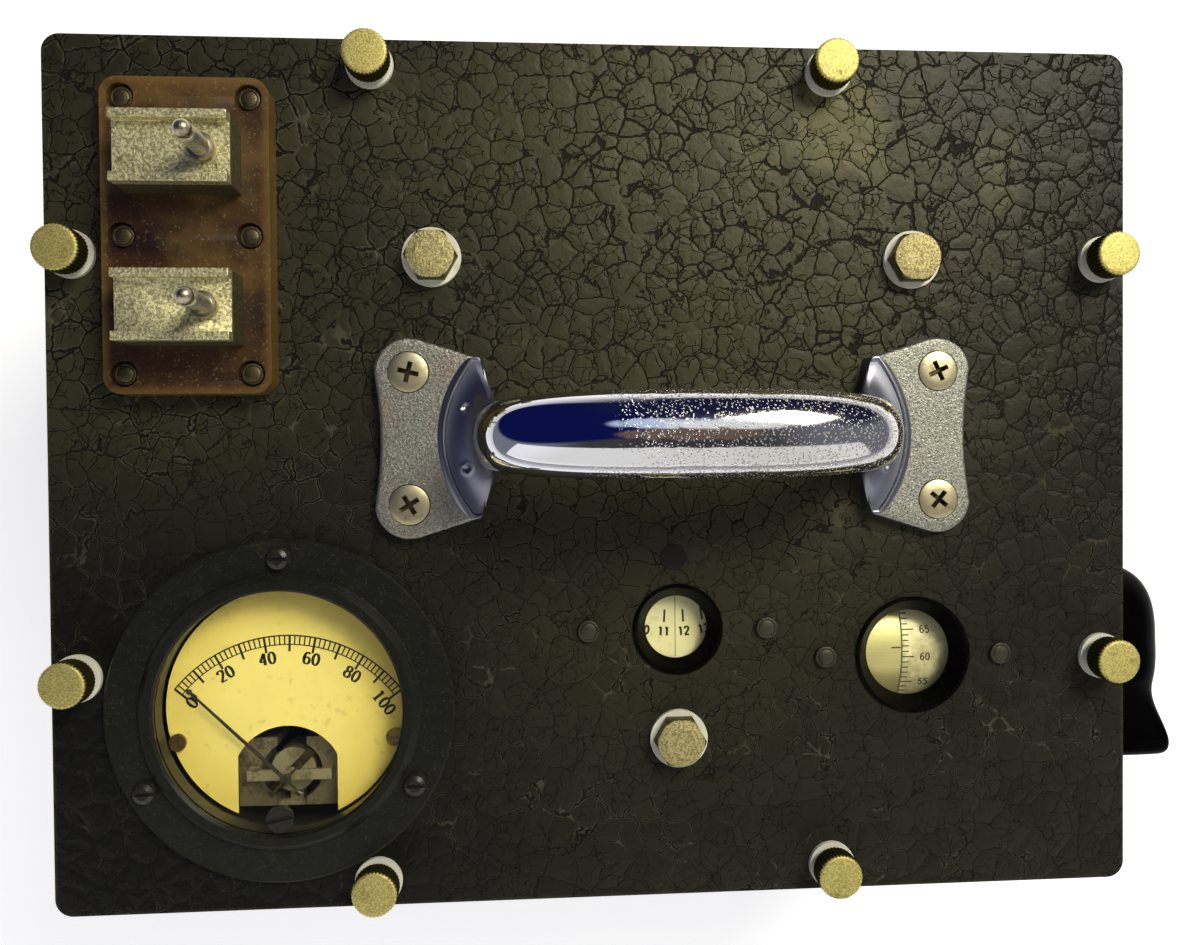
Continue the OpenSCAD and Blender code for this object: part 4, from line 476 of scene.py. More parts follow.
def crank_rings(sides=72):
    """Half ovals across the crank, from the hub's far edge to the finger's tip. Height: a domed hub, a
    saddle, then the finger grip. Width: the hub's circle, a neck, then the finger's round."""
    hub_turn = math.acos(-NECK_OUT / CRANK_HUB_R)
    u = np.concatenate([-CRANK_HUB_R * np.cos(np.linspace(0.03, 1, 60) * hub_turn),
                        np.linspace(NECK_OUT, CRANK_ARM, 42)[1:]])
    run = CRANK_ARM - NECK_OUT
    t = np.clip((u - NECK_OUT) / run, 0, 1)
    neck = FINGER_R + (NECK_W - FINGER_R) * (1 - eased(t)) - run * NECK_OUT / NECK_W * t * (1 - t) ** 2
    width = np.where(u < NECK_OUT, np.sqrt(np.maximum(CRANK_HUB_R ** 2 - u ** 2, 0)), neck)
    tip = np.linspace(0, math.radians(86), 22)[1:]
    u = np.concatenate([u, CRANK_ARM + FINGER_R * np.sin(tip)])
    width = np.concatenate([width, FINGER_R * np.cos(tip)])
    fallen = np.clip((BROW_OUT - u) / (CRANK_HUB_R + BROW_OUT), 0, 1)
    dome = CRANK_HUB_L * (1 - fallen ** HUB_POWER) ** HUB_ROOT
    fall = SADDLE_L + (CRANK_HUB_L - SADDLE_L) * eased((SADDLE_OUT - u) / (SADDLE_OUT - BROW_OUT))
    past = np.maximum(u - ROLL_OUT, 0)
    roll = FINGER_ROUND - np.sqrt(np.maximum(FINGER_ROUND ** 2 - past ** 2, 0))
    rise = SADDLE_L + (CRANK_REACH - SADDLE_L) * eased((u - SADDLE_OUT) / (FINGER_OUT - SADDLE_OUT)) - roll
    height = np.where(u < BROW_OUT, dome, np.where(u < SADDLE_OUT, fall, rise)) - CRANK_GAP
    power = 2 / (2.2 + 2.3 * eased(u / CRANK_ARM))
    a = np.linspace(0, math.pi, sides)
    s, c = np.maximum(np.sin(a), 1e-9), np.cos(a)
    across = width[:, None] * np.sign(c) * np.abs(c) ** power[:, None]
    out = CRANK_GAP + height[:, None] * s ** power[:, None]
    rings = np.stack([out, -u[:, None] + 0 * across, across], -1)
    return rings + (CASE_SIDE, DRIVE[0], DRIVE[1])


# Thumbscrews, rivets, plugs and screw recesses
def knurled_head(place):
    """Knurled head: its radius is a rounded profile less a ripple round the side, which fades out
    towards both rounded ends."""
    radius, height, ribs, depth = 5.4, 6.2, 38, 0.34
    profile = rounded([(0.0, 0.0), (radius, 0.0), (radius, height), (0.0, height)], 0.95, 6)
    profile = np.insert(profile, 7, [(radius, z) for z in np.linspace(1.2, height - 1.2, 8)], 0)[1:-1]
    a = np.linspace(0, 2 * math.pi, ribs * 8, endpoint=False)
    ripple = np.abs(np.sin(a * ribs / 2)) ** 0.8
    side = np.clip((profile[:, 0] - radius + 0.45) / 0.45, 0, 1)[:, None]
    r = profile[:, :1] - depth * (1 - ripple) * side ** 2
    x, y, z = place
    head = skin(np.stack([x + r * np.cos(a), y + r * np.sin(a), z + 1.5 + profile[:, 1:] + 0 * a], -1))
    neck = turned([(2.4, -16.0), (2.4, 0), (3.7, 0), (3.7, 2.0)], place, 48)
    return [head, neck]


def rivet_heads(places, radius, low, seat, top):
    """Rivets with a tail, a shank and a flat head that has a rounded rim and a shallow ring in it."""
    rim = radius * 0.74
    profile = [(radius, low), (radius, low + 0.4), (1.3, low + 0.4), (1.3, seat), (radius, seat),
               (radius, top - 0.45), (radius - 0.12, top - 0.2), (radius - 0.35, top - 0.1),
               (rim + 0.12, top - 0.12), (rim, top - 0.24), (rim - 0.12, top - 0.1), (rim - 0.3, top),
               (0.3, top)]
    return joined([turned(profile, (x, y, TOP_Z), 48) for x, y in places])


def plug_pins():
    """Coil plugs: a stud, a collar, a shank with rounded rings, a neck and a ball tip."""
    rings = [(2.2 - 0.28 * (0.5 - 0.5 * math.cos(2 * math.pi * k / 8)), 18.0 + 1.25 * k / 8)
             for k in range(53)]
    ball = [(2.05 * math.sin(a), 28.2 - 2.05 * math.cos(a)) for a in np.linspace(0.9, math.pi, 14)]
    profile = [(1.75, -10.0), (1.75, 15.2), (3.1, 15.2), (3.1, 16.9), (2.9, 17.3), (2.2, 17.4)] + rings + \
        [(1.6, 26.4), (1.55, 26.7)] + ball
    return joined([turned(profile, (x, y, TOP_Z), 48) for x, y in PLUGS])


def cross_cutter(place, angle):
    """Closed skin of a cross that narrows downwards, for the recess of a screw."""
    long, wide = 2.75, 0.62
    corners = [(long, -wide), (long, wide), (wide, wide), (wide, long), (-wide, long), (-wide, wide),
               (-long, wide), (-long, -wide), (-wide, -wide), (-wide, -long), (wide, -long), (wide, -wide)]
    c, s = math.cos(math.radians(angle)), math.sin(math.radians(angle))
    flat = np.array(corners) @ np.array([(c, s), (-s, c)])
    rows = [np.column_stack([flat * share, np.full(12, z)]) for share, z in ((0.7, -1.9), (1.0, 1.2))]
    return skin(np.array(rows) + place)


# Node trees
def tone(red, green, blue):
    """A colour written as 0 to 255 on a screen, as the light values that shaders take."""
    part = np.array([red, green, blue]) / 255
    light = np.where(part <= 0.04045, part / 12.92, ((part + 0.055) / 1.055) ** 2.4)
    return (*light.tolist(), 1.0)


class Tree:
    """Short ways to add nodes to a node tree and join them."""

    def __init__(self, tree):
        self.tree = tree

    def join(self, value, socket):
        if isinstance(value, bpy.types.NodeSocket):
            self.tree.links.new(value, socket)
        else:
            socket.default_value = value

    def add(self, kind, inputs=None, **settings):
        node = self.tree.nodes.new(kind)
        for key, value in settings.items():
            setattr(node, key, value)
        for key, value in (inputs or {}).items():
            self.join(value, node.inputs[key])
        return node

    def math(self, operation, *values, clamp=False):
        return self.add("ShaderNodeMath", dict(enumerate(values)), operation=operation,
                        use_clamp=clamp).outputs[0]

    def times(self, a, b):
        return self.math("MULTIPLY", a, b)

    def plus(self, a, b):
        return self.math("ADD", a, b)

    def parts(self, where):
        """The x, y and z of a place."""
        return self.add("ShaderNodeSeparateXYZ", {0: where}).outputs

    def vector(self, operation, *values):
        node = self.add("ShaderNodeVectorMath", dict(enumerate(values)), operation=operation)
        return node.outputs["Value" if operation in ("LENGTH", "DOT_PRODUCT") else "Vector"]

    def span(self, value, low, high, out_low=0.0, out_high=1.0):
        return self.add("ShaderNodeMapRange", {"Value": value, "From Min": low, "From Max": high,
                                               "To Min": out_low, "To Max": out_high},
                        interpolation_type="SMOOTHSTEP").outputs["Result"]

    def mix(self, share, a, b):
        node = self.add("ShaderNodeMix", data_type="RGBA")
        for value, place in ((share, 0), (a, 6), (b, 7)):
            self.join(value, node.inputs[place])
        return node.outputs[2]

    def tint(self, colour, mask, strength, screen_colour):
        """A colour laid over another where a mask says, at a strength."""
        return self.mix(self.times(mask, strength), colour, tone(*screen_colour))

    def far_from(self, where, place):
        """Distance from a place that is given in millimetres."""
        return self.vector("LENGTH", self.vector("SUBTRACT", where, [c * MM for c in place]))

    def noise(self, where, scale, detail=3.0, roughness=0.55, output=0):
        return self.add("ShaderNodeTexNoise", {"Vector": where, "Scale": scale, "Detail": detail,
                                               "Roughness": roughness}).outputs[output]

    def cells(self, where, scale, feature="F1", output="Distance"):
        return self.add("ShaderNodeTexVoronoi", {"Vector": where, "Scale": scale},
                        feature=feature).outputs[output]

    def stretched(self, where, scale):
        return self.add("ShaderNodeMapping", {"Vector": where, "Scale": scale}).outputs[0]

    def bump(self, height, distance):
        return self.add("ShaderNodeBump", {"Height": height, "Distance": distance,
                                           "Strength": 1.0}).outputs[0]

    def effect(self, group, inputs):
        node = self.add("ShaderNodeGroup", node_tree=group)
        for key, value in inputs.items():
            self.join(value, node.inputs[key])
        return node.outputs


def effect_group(name, inputs, outputs, fill):
    """A group of nodes with named sockets, filled in by a function of its tree and its inputs."""
    tree = bpy.data.node_groups.new(name, "ShaderNodeTree")
    for label, value in inputs.items():
        kind = "NodeSocketVector" if value is None else "NodeSocketFloat"
        socket = tree.interface.new_socket(label, in_out="INPUT", socket_type=kind)
        if value is not None:
            socket.default_value = value
    for label in outputs:
        tree.interface.new_socket(label, in_out="OUTPUT", socket_type="NodeSocketFloat")
    t = Tree(tree)
    results = fill(t, t.add("NodeGroupInput").outputs)
    end = t.add("NodeGroupOutput")
    for label, value in results.items():
        t.join(value, end.inputs[label])
    return tree


def fill_crackle(t, given):
    """Islands between the borders of warped cells, with finer cracks that come and go inside them. A lip is
    the strip of an island just beside a crack, out to 1.9 of the crack's width, where a highlight is
    painted."""
    where, size, width = given["Where"], given["Size"], given["Width"]
    warped = where
    for detail, reach in ((0.8, 0.5), (3.5, 0.2)):
        bend = t.noise(where, t.times(size, detail), 2.0, 0.5, output=1)
        bend = t.vector("SUBTRACT", bend, (0.5, 0.5, 0.5))
        warped = t.vector("ADD", warped, t.add("ShaderNodeVectorMath", {
            0: bend, "Scale": t.math("DIVIDE", reach, size)}, operation="SCALE").outputs[0])
    coarse = t.cells(warped, size, "DISTANCE_TO_EDGE")
    fine = t.cells(warped, t.times(size, 1.9), "DISTANCE_TO_EDGE")
    patch = t.noise(where, t.times(size, 0.25), 3.0, 0.6)
    wide = t.times(width, t.span(patch, 0.35, 0.65, 0.45, 1.05))
    main = t.span(coarse, t.times(wide, 0.3), wide, 1.0, 0.0)
    main = t.times(main, t.span(t.noise(where, t.times(size, 0.8), 2.0), 0.37, 0.43))
    small = t.span(fine, 0.0, t.times(width, 0.65), 0.85, 0.0)
    small = t.times(small, t.span(t.noise(where, t.times(size, 0.9), 2.0), 0.45, 0.51))
    crack = t.math("MAXIMUM", main, small)
    skin_wave = t.noise(where, t.times(size, 4.0), 4.0, 0.6)
    swell = t.span(coarse, 0.0, 0.3, 0.0, 1.0)
    height = t.plus(t.math("SUBTRACT", 1.0, crack),
                    t.plus(t.times(skin_wave, 0.25), t.times(swell, 0.25)))
    # The lip marks the strip beside a crack where the lacquer gets a painted highlight.
    beside = t.span(coarse, wide, t.times(wide, 1.9), 1.0, 0.0)
    glint_lip = t.math("SUBTRACT", beside, main, clamp=True)
    glint_lip = t.times(glint_lip, t.span(patch, 0.45, 0.6))
    island = t.add("ShaderNodeSeparateColor", {0: t.cells(warped, size, output="Color")}).outputs[0]
    return {"Crack": crack, "Height": height, "Island": island, "Lip glint": glint_lip}


CRACKLE = effect_group("crackle", {"Where": None, "Size": 180.0, "Width": 0.08},
                       ("Crack", "Height", "Island", "Lip glint"), fill_crackle)


def fill_soil(t, given):
    """Cloudy patches of soil or dust: broad noise broken up by fine noise, cut off at a level."""
    broad = t.noise(given["Where"], given["Size"], 4.0, 0.6)
    fine = t.noise(given["Where"], t.times(given["Size"], 9.0), 3.0, 0.6)
    both = t.plus(t.times(broad, 0.72), t.times(fine, 0.28))
    level = given["Level"]
    return {"Mask": t.span(both, level, t.plus(level, 0.14))}


SOIL = effect_group("soil", {"Where": None, "Size": 30.0, "Level": 0.5}, ("Mask",), fill_soil)


def fill_pits(t, given):
    """Small pits and bumps of cast or hammered metal, from two sizes of cell with their own depths."""
    big = t.cells(given["Where"], given["Size"], "SMOOTH_F1")
    small = t.cells(given["Where"], t.times(given["Size"], 2.7), "SMOOTH_F1")
    cloud = t.noise(given["Where"], t.times(given["Size"], 0.35), 3.0)
    height = t.plus(t.times(big, 0.65), t.times(small, 0.35))
    dots = t.times(t.span(height, 0.22, 0.34, 1.0, 0.0), t.span(cloud, 0.42, 0.58))
    dimples = t.span(t.cells(given["Where"], given["Size"]), 0.16, 0.34)
    return {"Height": height, "Dots": dots, "Dimples": dimples}


PITS = effect_group("pits", {"Where": None, "Size": 900.0}, ("Height", "Dots", "Dimples"), fill_pits)


def fill_grain(t, given):
    """Fine streaks: noise on stretched coordinates, at two sizes."""
    long = t.noise(given["Where"], given["Size"], 2.0, 0.7)
    short = t.noise(given["Where"], t.times(given["Size"], 4.0), 2.0, 0.7)
    return {"Height": t.plus(t.times(long, 0.6), t.times(short, 0.4))}


GRAIN = effect_group("grain", {"Where": None, "Size": 1200.0}, ("Height",), fill_grain)


def fill_rim(t, given):
    """How close a point is to the upright sides of a box round the origin, broken up by noise."""
    parts = t.parts(t.vector("ABSOLUTE", given["Where"]))
    nearest = t.math("MINIMUM", t.math("SUBTRACT", given["Half length"], parts[0]),
                     t.math("SUBTRACT", given["Half width"], parts[1]))
    ragged = t.times(t.noise(given["Where"], 260.0, 4.0, 0.65), given["Reach"])
    return {"Mask": t.span(nearest, 0.0, ragged, 1.0, 0.0)}


RIM = effect_group("rim", {"Where": None, "Half length": 0.132, "Half width": 0.1045, "Reach": 0.002},
                   ("Mask",), fill_rim)


def emptied(owner):
    """The tree of a material or a world, with nothing in it."""
    owner.use_nodes = True
    owner.node_tree.nodes.clear()
    return Tree(owner.node_tree)


def finish(name, roughness=0.5, metallic=0.0, **fixed):
    """A material with its shader, its tree and the object's own coordinates."""
    made = bpy.data.materials.new(name)
    t = emptied(made)
    shader = t.add("ShaderNodeBsdfPrincipled", {"Roughness": roughness, "Metallic": metallic, **fixed})
    t.add("ShaderNodeOutputMaterial", {"Surface": shader.outputs[0]})
    where = t.add("ShaderNodeTexCoord").outputs["Object"]
    return made, t, shader.inputs, where


def ringed(t, where, centre):
    """Coordinates for grain in rings round an upright axis: the distance from the axis, then the height."""
    moved = t.vector("SUBTRACT", where, [c * MM for c in centre])
    parts = t.parts(moved)
    flat = t.add("ShaderNodeCombineXYZ", {0: parts[0], 1: parts[1]}).outputs[0]
    return t.add("ShaderNodeCombineXYZ", {0: t.vector("LENGTH", flat), 1: parts[2]}).outputs[0]


def metal(name, clean, dull, roughness, soil=0.5, soil_size=40.0, grain="cast", grain_size=1400.0,
          depth=0.00002, centre=None, stretch=(1, 1, 1), dots=0.0, dot_colour=(30, 26, 18), shine=1.0,
          sides=None):
    """Metal with a clean and a dull tone, soil in patches, dark dots, painted shade on its sides below a
    height, and a cast, sandy, streaked or turned grain that shows in its relief and its gloss."""
    made, t, shader, where = finish(name, roughness, shine)
    seat = t.stretched(where, stretch) if centre is None else ringed(t, where, centre)
    if grain == "cast":
        relief = t.effect(PITS, {"Where": where, "Size": grain_size})["Height"]
    elif grain == "sand":
        relief = t.noise(where, grain_size, 4.0, 0.7)
    else:
        relief = t.effect(GRAIN, {"Where": seat, "Size": grain_size})["Height"]
    patch = t.effect(SOIL, {"Where": where, "Size": soil_size, "Level": soil})["Mask"]
    colour = t.mix(patch, tone(*clean), tone(*dull))
    low, high, share = (0.42, 0.6, 0.7) if grain == "sand" else (0.3, 0.75, 0.35)
    colour = t.tint(colour, t.span(relief, low, high), share, dull)
    if dots:
        spot = t.effect(PITS, {"Where": where, "Size": grain_size * 0.5})["Dots"]
        colour = t.tint(colour, spot, dots, dot_colour)
    # Painted shade: below a height the sides take the dot colour, as if they stood in shade.
    if sides:
        height = t.parts(where)[2]
        side_shade = t.span(height, (sides - 0.6) * MM, sides * MM, 0.8, 0.0)
        colour = t.mix(side_shade, colour, tone(*dot_colour))
    t.join(colour, shader["Base Color"])
    gloss = t.plus(t.times(patch, 0.12), roughness - 0.05)
    t.join(t.plus(gloss, t.times(relief, 0.1)), shader["Roughness"])
    t.join(t.bump(relief, depth), shader["Normal"])
    return made


def coated(name, main, worn, roughness, soil=0.55, soil_size=60.0, relief_size=500.0, depth=0.00001,
           coat=0.0, specks=0.0, gloss=0.5):
    """Paint, moulded resin, rubber, paper or glaze: a main tone, a worn one in patches, pale specks of
    dust and a fine relief."""
    made, t, shader, where = finish(name, roughness, 0.0, **{"Coat Weight": coat, "Coat Roughness": 0.12,
                                                             "Specular IOR Level": gloss})
    patch = t.effect(SOIL, {"Where": where, "Size": soil_size, "Level": soil})["Mask"]
    cloud = t.noise(where, soil_size * 3, 4.0, 0.6)
    colour = t.mix(t.times(patch, 0.8), tone(*main), tone(*worn))
    colour = t.tint(colour, t.span(cloud, 0.35, 0.7), 0.3, worn)
    if specks:
        dust = t.effect(PITS, {"Where": where, "Size": 1900.0})["Dots"]
        colour = t.tint(colour, dust, specks, (150, 146, 122))
    t.join(colour, shader["Base Color"])
    t.join(t.plus(roughness, t.times(patch, 0.15)), shader["Roughness"])
    relief = t.noise(where, relief_size, 5.0, 0.6)
    t.join(t.bump(relief, depth), shader["Normal"])
    return made


# Painted pools of light and clouds of dust on the panel: their place, the reach of the full spot and of its
# end, and its strength
LIGHT_POOLS = ((43.8, 86.0, 14.0, 19.0, 0.5), (52.0, 75.0, 8.0, 12.5, 0.3), (84.7, 80.1, 9.5, 13.0, 0.34),
              (84.0, 70.0, 8.5, 12.5, 0.32), (-11.0, 76.4, 9.0, 12.5, 0.12), (23.6, 79.3, 10.0, 13.5, 0.2))
DUST_CLOUDS = ((-128.0, 40.0, 20.0, 80.0, 0.3), (-90.0, 96.0, 10.0, 70.0, 0.18),
               (5.0, -12.0, 20.0, 90.0, 0.18))
# Darker corners of the panel, written the same way, each with its colour
DARK_CORNERS = (((-140.0, -100.0, 50.0, 130.0, 0.85), (12, 12, 10)),
                ((125.0, 100.0, 20.0, 100.0, 0.5), (26, 25, 17)))
# Where the pale film of dust and painted sheen on the panel is thickest
FILM = (22.0, 85.0, TOP_Z)


def stained(t, where, base, round_spot, tint, ragged=0.0):
    """A round patch of colour on the panel, used for clouds of dust, painted pools of light and darker
    corners: full within its inner reach and gone past its outer one. Noise adds up to a ragged reach, in
    metres, to the distance."""
    x, y, inner, outer, share = round_spot
    far = t.far_from(where, (x, y, TOP_Z))
    if ragged:
        far = t.plus(far, t.times(t.noise(where, 120.0, 4.0, 0.6), ragged))
    return t.mix(t.span(far, inner * MM, outer * MM, share, 0.0), base, tone(*tint))


def crackle_lacquer(name, dark, island, lit, size, width, depth, panel):
    """Aged alligator lacquer: flat islands between dark cracks that get half as wide towards the front,
    with pale lips that are a painted highlight of the crack edges, paler still at the left and the front,
    and pale edges. On the panel a pale film of dust and painted sheen lies round a place behind the middle,
    with clouds of dust and painted pools of light, and two corners are darker."""
    made, t, shader, where = finish(name, 0.4, 0.0, **{"Specular IOR Level": 0.16})
    parts = t.parts(where)
    crack_width = t.span(parts[1], -0.045, 0.05, 0.5 * width, width)
    made_of = t.effect(CRACKLE, {"Where": where, "Size": size, "Width": crack_width})
    crack = made_of["Crack"]
    base = t.mix(made_of["Island"], tone(*dark), tone(*island))
    grain = t.noise(where, 1500.0, 3.0, 0.6)
    base = t.tint(base, grain, 0.12, lit)
    # Painted highlight: the lips beside the cracks take the lit tone, as if they caught the light.
    base = t.tint(base, made_of["Lip glint"], 0.42, lit)
    # Where the lips get a further painted highlight: towards the left and the front.
    glint_side = t.math("MAXIMUM", t.span(parts[0], -0.09, -0.02, 1.0, 0.0),
                 t.span(parts[1], -0.07, -0.01, 1.0, 0.0))
    centred = t.vector("SUBTRACT", where, (CASE_X * MM, 0, 0))
    dip = tone(15, 15, 11)
    if panel:
        # A pale film, partly dust and partly painted sheen, thickest round FILM; the cracks are paler under
        # it too.
        cloud = t.times(t.noise(where, 26.0, 5.0, 0.6), 0.07)
        film = t.span(t.plus(t.far_from(where, FILM), cloud), 0.045, 0.165, 0.68, 0.0)
        base = t.mix(film, base, tone(*lit))
        # Clouds of dust in the lit tone, then painted pools of light in a golden tone.
        for round_spots, tint in ((DUST_CLOUDS, lit), (LIGHT_POOLS, (120, 115, 72))):
            for round_spot in round_spots:
                base = stained(t, where, base, round_spot, tint, 0.01)
        patch = t.effect(SOIL, {"Where": where, "Size": 55.0, "Level": 0.6})["Mask"]
        base = t.tint(base, patch, 0.5, (20, 19, 15))
        dip = t.mix(film, dip, tone(30, 29, 21))
        for round_spot, tint in DARK_CORNERS:
            base = stained(t, where, base, round_spot, tint)
    edge = t.effect(RIM, {"Where": centred, "Half length": HALF_L * MM, "Half width": HALF_W * MM,
                          "Reach": 0.0018})["Mask"]
    base = t.tint(base, edge, 0.4, (74, 71, 56))
    # Painted highlight: paler lips still at the left and the front.
    base = t.tint(base, t.times(made_of["Lip glint"], glint_side), 0.34, (84, 83, 70))
    colour = t.mix(crack, base, dip)
    t.join(colour, shader["Base Color"])
    t.join(t.plus(0.42, t.times(crack, 0.3)), shader["Roughness"])
    height = t.plus(made_of["Height"], t.times(grain, 0.12))
    t.join(t.bump(height, depth), shader["Normal"])
    return made


def chrome(name, cast):
    """Chrome plate. A cast one is grainy and half matt, with a painted highlight on its rounded upper edge;
    a bright one is a mirror, pitted towards its right end, with painted shade low on its feet."""
    made, t, shader, where = finish(name, 0.08, 1.0)
    pits = t.effect(PITS, {"Where": where, "Size": 1500.0 if cast else 1550.0})
    parts = t.parts(where)
    if cast:
        sand = t.noise(where, 2300.0, 4.0, 0.7)
        cloud = t.noise(where, 70.0, 4.0, 0.6)
        colour = t.mix(t.span(sand, 0.35, 0.7), tone(180, 180, 167), tone(98, 96, 86))
        warm = t.times(t.span(cloud, 0.45, 0.7), t.span(parts[0], -0.05, 0.03, 0.45, 0.0))
        colour = t.mix(warm, colour, tone(152, 130, 112))
        # Painted highlight: the rounded upper edge of the flange is pale and smoother, as if it caught the
        # light.
        side = t.span(parts[2], (TOP_Z + FLANGE_T - 0.5) * MM, (TOP_Z + FLANGE_T - 0.08) * MM, 1.0, 0.0)
        colour = t.tint(colour, side, 0.8, (226, 228, 236))
        t.join(colour, shader["Base Color"])
        t.join(t.math("SUBTRACT", t.span(sand, 0.2, 0.8, 0.36, 0.56), t.times(side, 0.18)),
               shader["Roughness"])
        height = t.plus(t.times(sand, 0.7), t.times(pits["Height"], 0.5))
        t.join(t.bump(height, 0.0002), shader["Normal"])
        return made
    worn = t.plus(t.times(parts[0], 16.0), t.noise(where, 45.0, 4.0, 0.6))
    worn = t.times(t.span(worn, 0.1, 0.85), t.span(parts[2], 0.158, 0.172))
    colour = t.mix(t.times(worn, 0.3), tone(222, 222, 226), tone(186, 174, 150))
    grit = t.times(t.math("SUBTRACT", 1.0, pits["Dimples"]), worn)
    colour = t.tint(colour, grit, 0.7, (240, 236, 208))
    # Painted shade: low down the feet are darker and rougher, as if in shade.
    foot = t.span(parts[2], 0.147, 0.158, 1.0, 0.0)
    colour = t.tint(colour, foot, 0.85, (116, 118, 132))
    t.join(colour, shader["Base Color"])
    rough = t.plus(t.times(worn, 0.05), t.times(grit, 0.4))
    t.join(t.plus(t.times(foot, 0.34), t.plus(0.04, rough)), shader["Roughness"])
    t.join(t.bump(t.times(pits["Dimples"], worn), 0.00026), shader["Normal"])
    return made


def glass(name, tint):
    """Clear glass with a faint film of dust; lamps shine through it on what lies below."""
    made, t, shader, where = finish(name, 0.02, 0.0, **{"Transmission Weight": 1.0, "IOR": 1.46})
    dust = t.effect(SOIL, {"Where": where, "Size": 90.0, "Level": 0.56})["Mask"]
    t.join(t.mix(t.times(dust, 0.12), tone(*tint), tone(205, 196, 160)), shader["Base Color"])
    t.join(t.plus(0.01, t.times(dust, 0.03)), shader["Roughness"])
    out = next(n for n in t.tree.nodes if n.type == "OUTPUT_MATERIAL")
    body = next(n for n in t.tree.nodes if n.type == "BSDF_PRINCIPLED").outputs[0]
    clear = t.add("ShaderNodeBsdfTransparent", {"Color": tone(244, 242, 230)}).outputs[0]
    shaded = t.add("ShaderNodeLightPath").outputs["Is Shadow Ray"]
    t.join(t.add("ShaderNodeMixShader", {0: shaded, 1: body, 2: clear}).outputs[0], out.inputs[0])
    return made


def paper(name, centre, radius, pale, aged, dark):
    """Printed card, aged from a pale middle to a brown rim, with foxing."""
    made, t, shader, where = finish(name, 0.62, 0.0)
    ragged = t.plus(t.far_from(where, centre), t.times(t.noise(where, 60.0, 4.0), 0.008))
    colour = t.mix(t.span(ragged, radius * MM * 0.45, radius * MM * 1.02), tone(*pale), tone(*aged))
    colour = t.mix(t.span(ragged, radius * MM * 0.98, radius * MM * 1.2), colour, tone(*dark))
    fibre = t.noise(where, 1400.0, 4.0, 0.65)
    colour = t.tint(colour, t.span(fibre, 0.45, 0.75), 0.22, aged)
    spots = t.effect(PITS, {"Where": where, "Size": 380.0})["Dots"]
    colour = t.tint(colour, spots, 0.18, dark)
    t.join(colour, shader["Base Color"])
    t.join(t.bump(fibre, 0.00001), shader["Normal"])
    return made


def phenolic(name, main, red, pale):
    """Brown moulded resin: reddish streaks along the plate, a paler rubbed rim and specks of dust."""
    made, t, shader, where = finish(name, 0.34, 0.0, **{"Coat Weight": 0.08, "Coat Roughness": 0.2})
    streak = t.noise(t.stretched(where, (0.16, 1, 1)), 110.0, 5.0, 0.6)
    cloud = t.noise(where, 38.0, 4.0, 0.6)
    colour = t.mix(t.span(streak, 0.35, 0.68), tone(*main), tone(*red))
    colour = t.tint(colour, t.span(cloud, 0.48, 0.68), 0.55, pale)
    centred = t.vector("SUBTRACT", where, (PLATE[0] * MM, PLATE[1] * MM, 0))
    rim = t.effect(RIM, {"Where": centred, "Half length": PLATE_HALF[0] * MM,
                         "Half width": PLATE_HALF[1] * MM, "Reach": 0.0055})["Mask"]
    colour = t.tint(colour, rim, 0.5, pale)
    dust = t.effect(PITS, {"Where": where, "Size": 1500.0})["Dots"]
    colour = t.tint(colour, dust, 0.16, (214, 196, 130))
    t.join(colour, shader["Base Color"])
    t.join(t.span(cloud, 0.3, 0.7, 0.28, 0.46), shader["Roughness"])
    t.join(t.bump(t.noise(where, 700.0, 5.0, 0.6), 0.00003), shader["Normal"])
    return made


# Finishes
TURNED = {"grain": "turned", "centre": (*ROTOR, 0)}
DRAWN = {"grain": "streak", "stretch": (0.4, 0.4, 3.0)}
PANEL_FINISH = crackle_lacquer("panel_lacquer", (24, 24, 18), (33, 32, 24), (84, 81, 54), 168.0, 0.055,
                               0.00046, True)
CASE_FINISH = crackle_lacquer("case_lacquer", (19, 19, 16), (26, 25, 20), (48, 46, 34), 150.0, 0.052,
                              0.00034, False)
RUBBER = coated("rubber", (34, 33, 31), (58, 56, 52), 0.75, relief_size=900.0, depth=0.00004, specks=0.2)
DULL_STEEL = metal("dull_steel", (176, 172, 160), (110, 98, 80), 0.42, grain_size=900.0)
NICKEL = metal("satin_nickel", (226, 214, 134), (168, 154, 90), 0.6, soil=0.54, soil_size=160.0,
               grain="sand", grain_size=2200.0, depth=0.00008, dots=0.2, dot_colour=(64, 54, 26),
               sides=149.6)
BOLT = metal("bolt_plate", (206, 194, 136), (116, 106, 70), 0.54, soil=0.58, soil_size=110.0,
             grain="sand", grain_size=1900.0, depth=0.00022, dots=0.4, dot_colour=(66, 58, 34), sides=146.2)
FIBRE = coated("white_fibre", (232, 230, 212), (204, 200, 172), 0.6, soil=0.56, soil_size=150.0,
               relief_size=1200.0, depth=0.00003)
GRIP_CHROME = chrome("grip_chrome", False)
CAST_CHROME = chrome("cast_chrome", True)
ZINC = metal("yellow_zinc", (214, 204, 164), (150, 138, 100), 0.42, soil=0.54, soil_size=260.0,
             grain="streak", stretch=(0.35, 2.2, 1), grain_size=900.0, dot_colour=(34, 26, 14),
             sides=144.15)
BROWN = phenolic("brown_resin", (66, 44, 15), (36, 18, 8), (124, 94, 38))
RIVET = metal("aged_rivet", (112, 102, 72), (62, 55, 38), 0.46, soil=0.5, soil_size=300.0,
              grain_size=1800.0, depth=0.00004)
AGED_NICKEL = metal("aged_nickel", (244, 237, 184), (128, 118, 80), 0.5, soil=0.57, soil_size=110.0,
                    grain="sand", grain_size=1500.0, depth=0.00022, dots=0.35, dot_colour=(70, 60, 34),
                    sides=155.8)
PLUG = metal("plug_nickel", (196, 188, 160), (120, 106, 74), 0.34, soil=0.52, soil_size=200.0,
             grain_size=1000.0, **DRAWN)
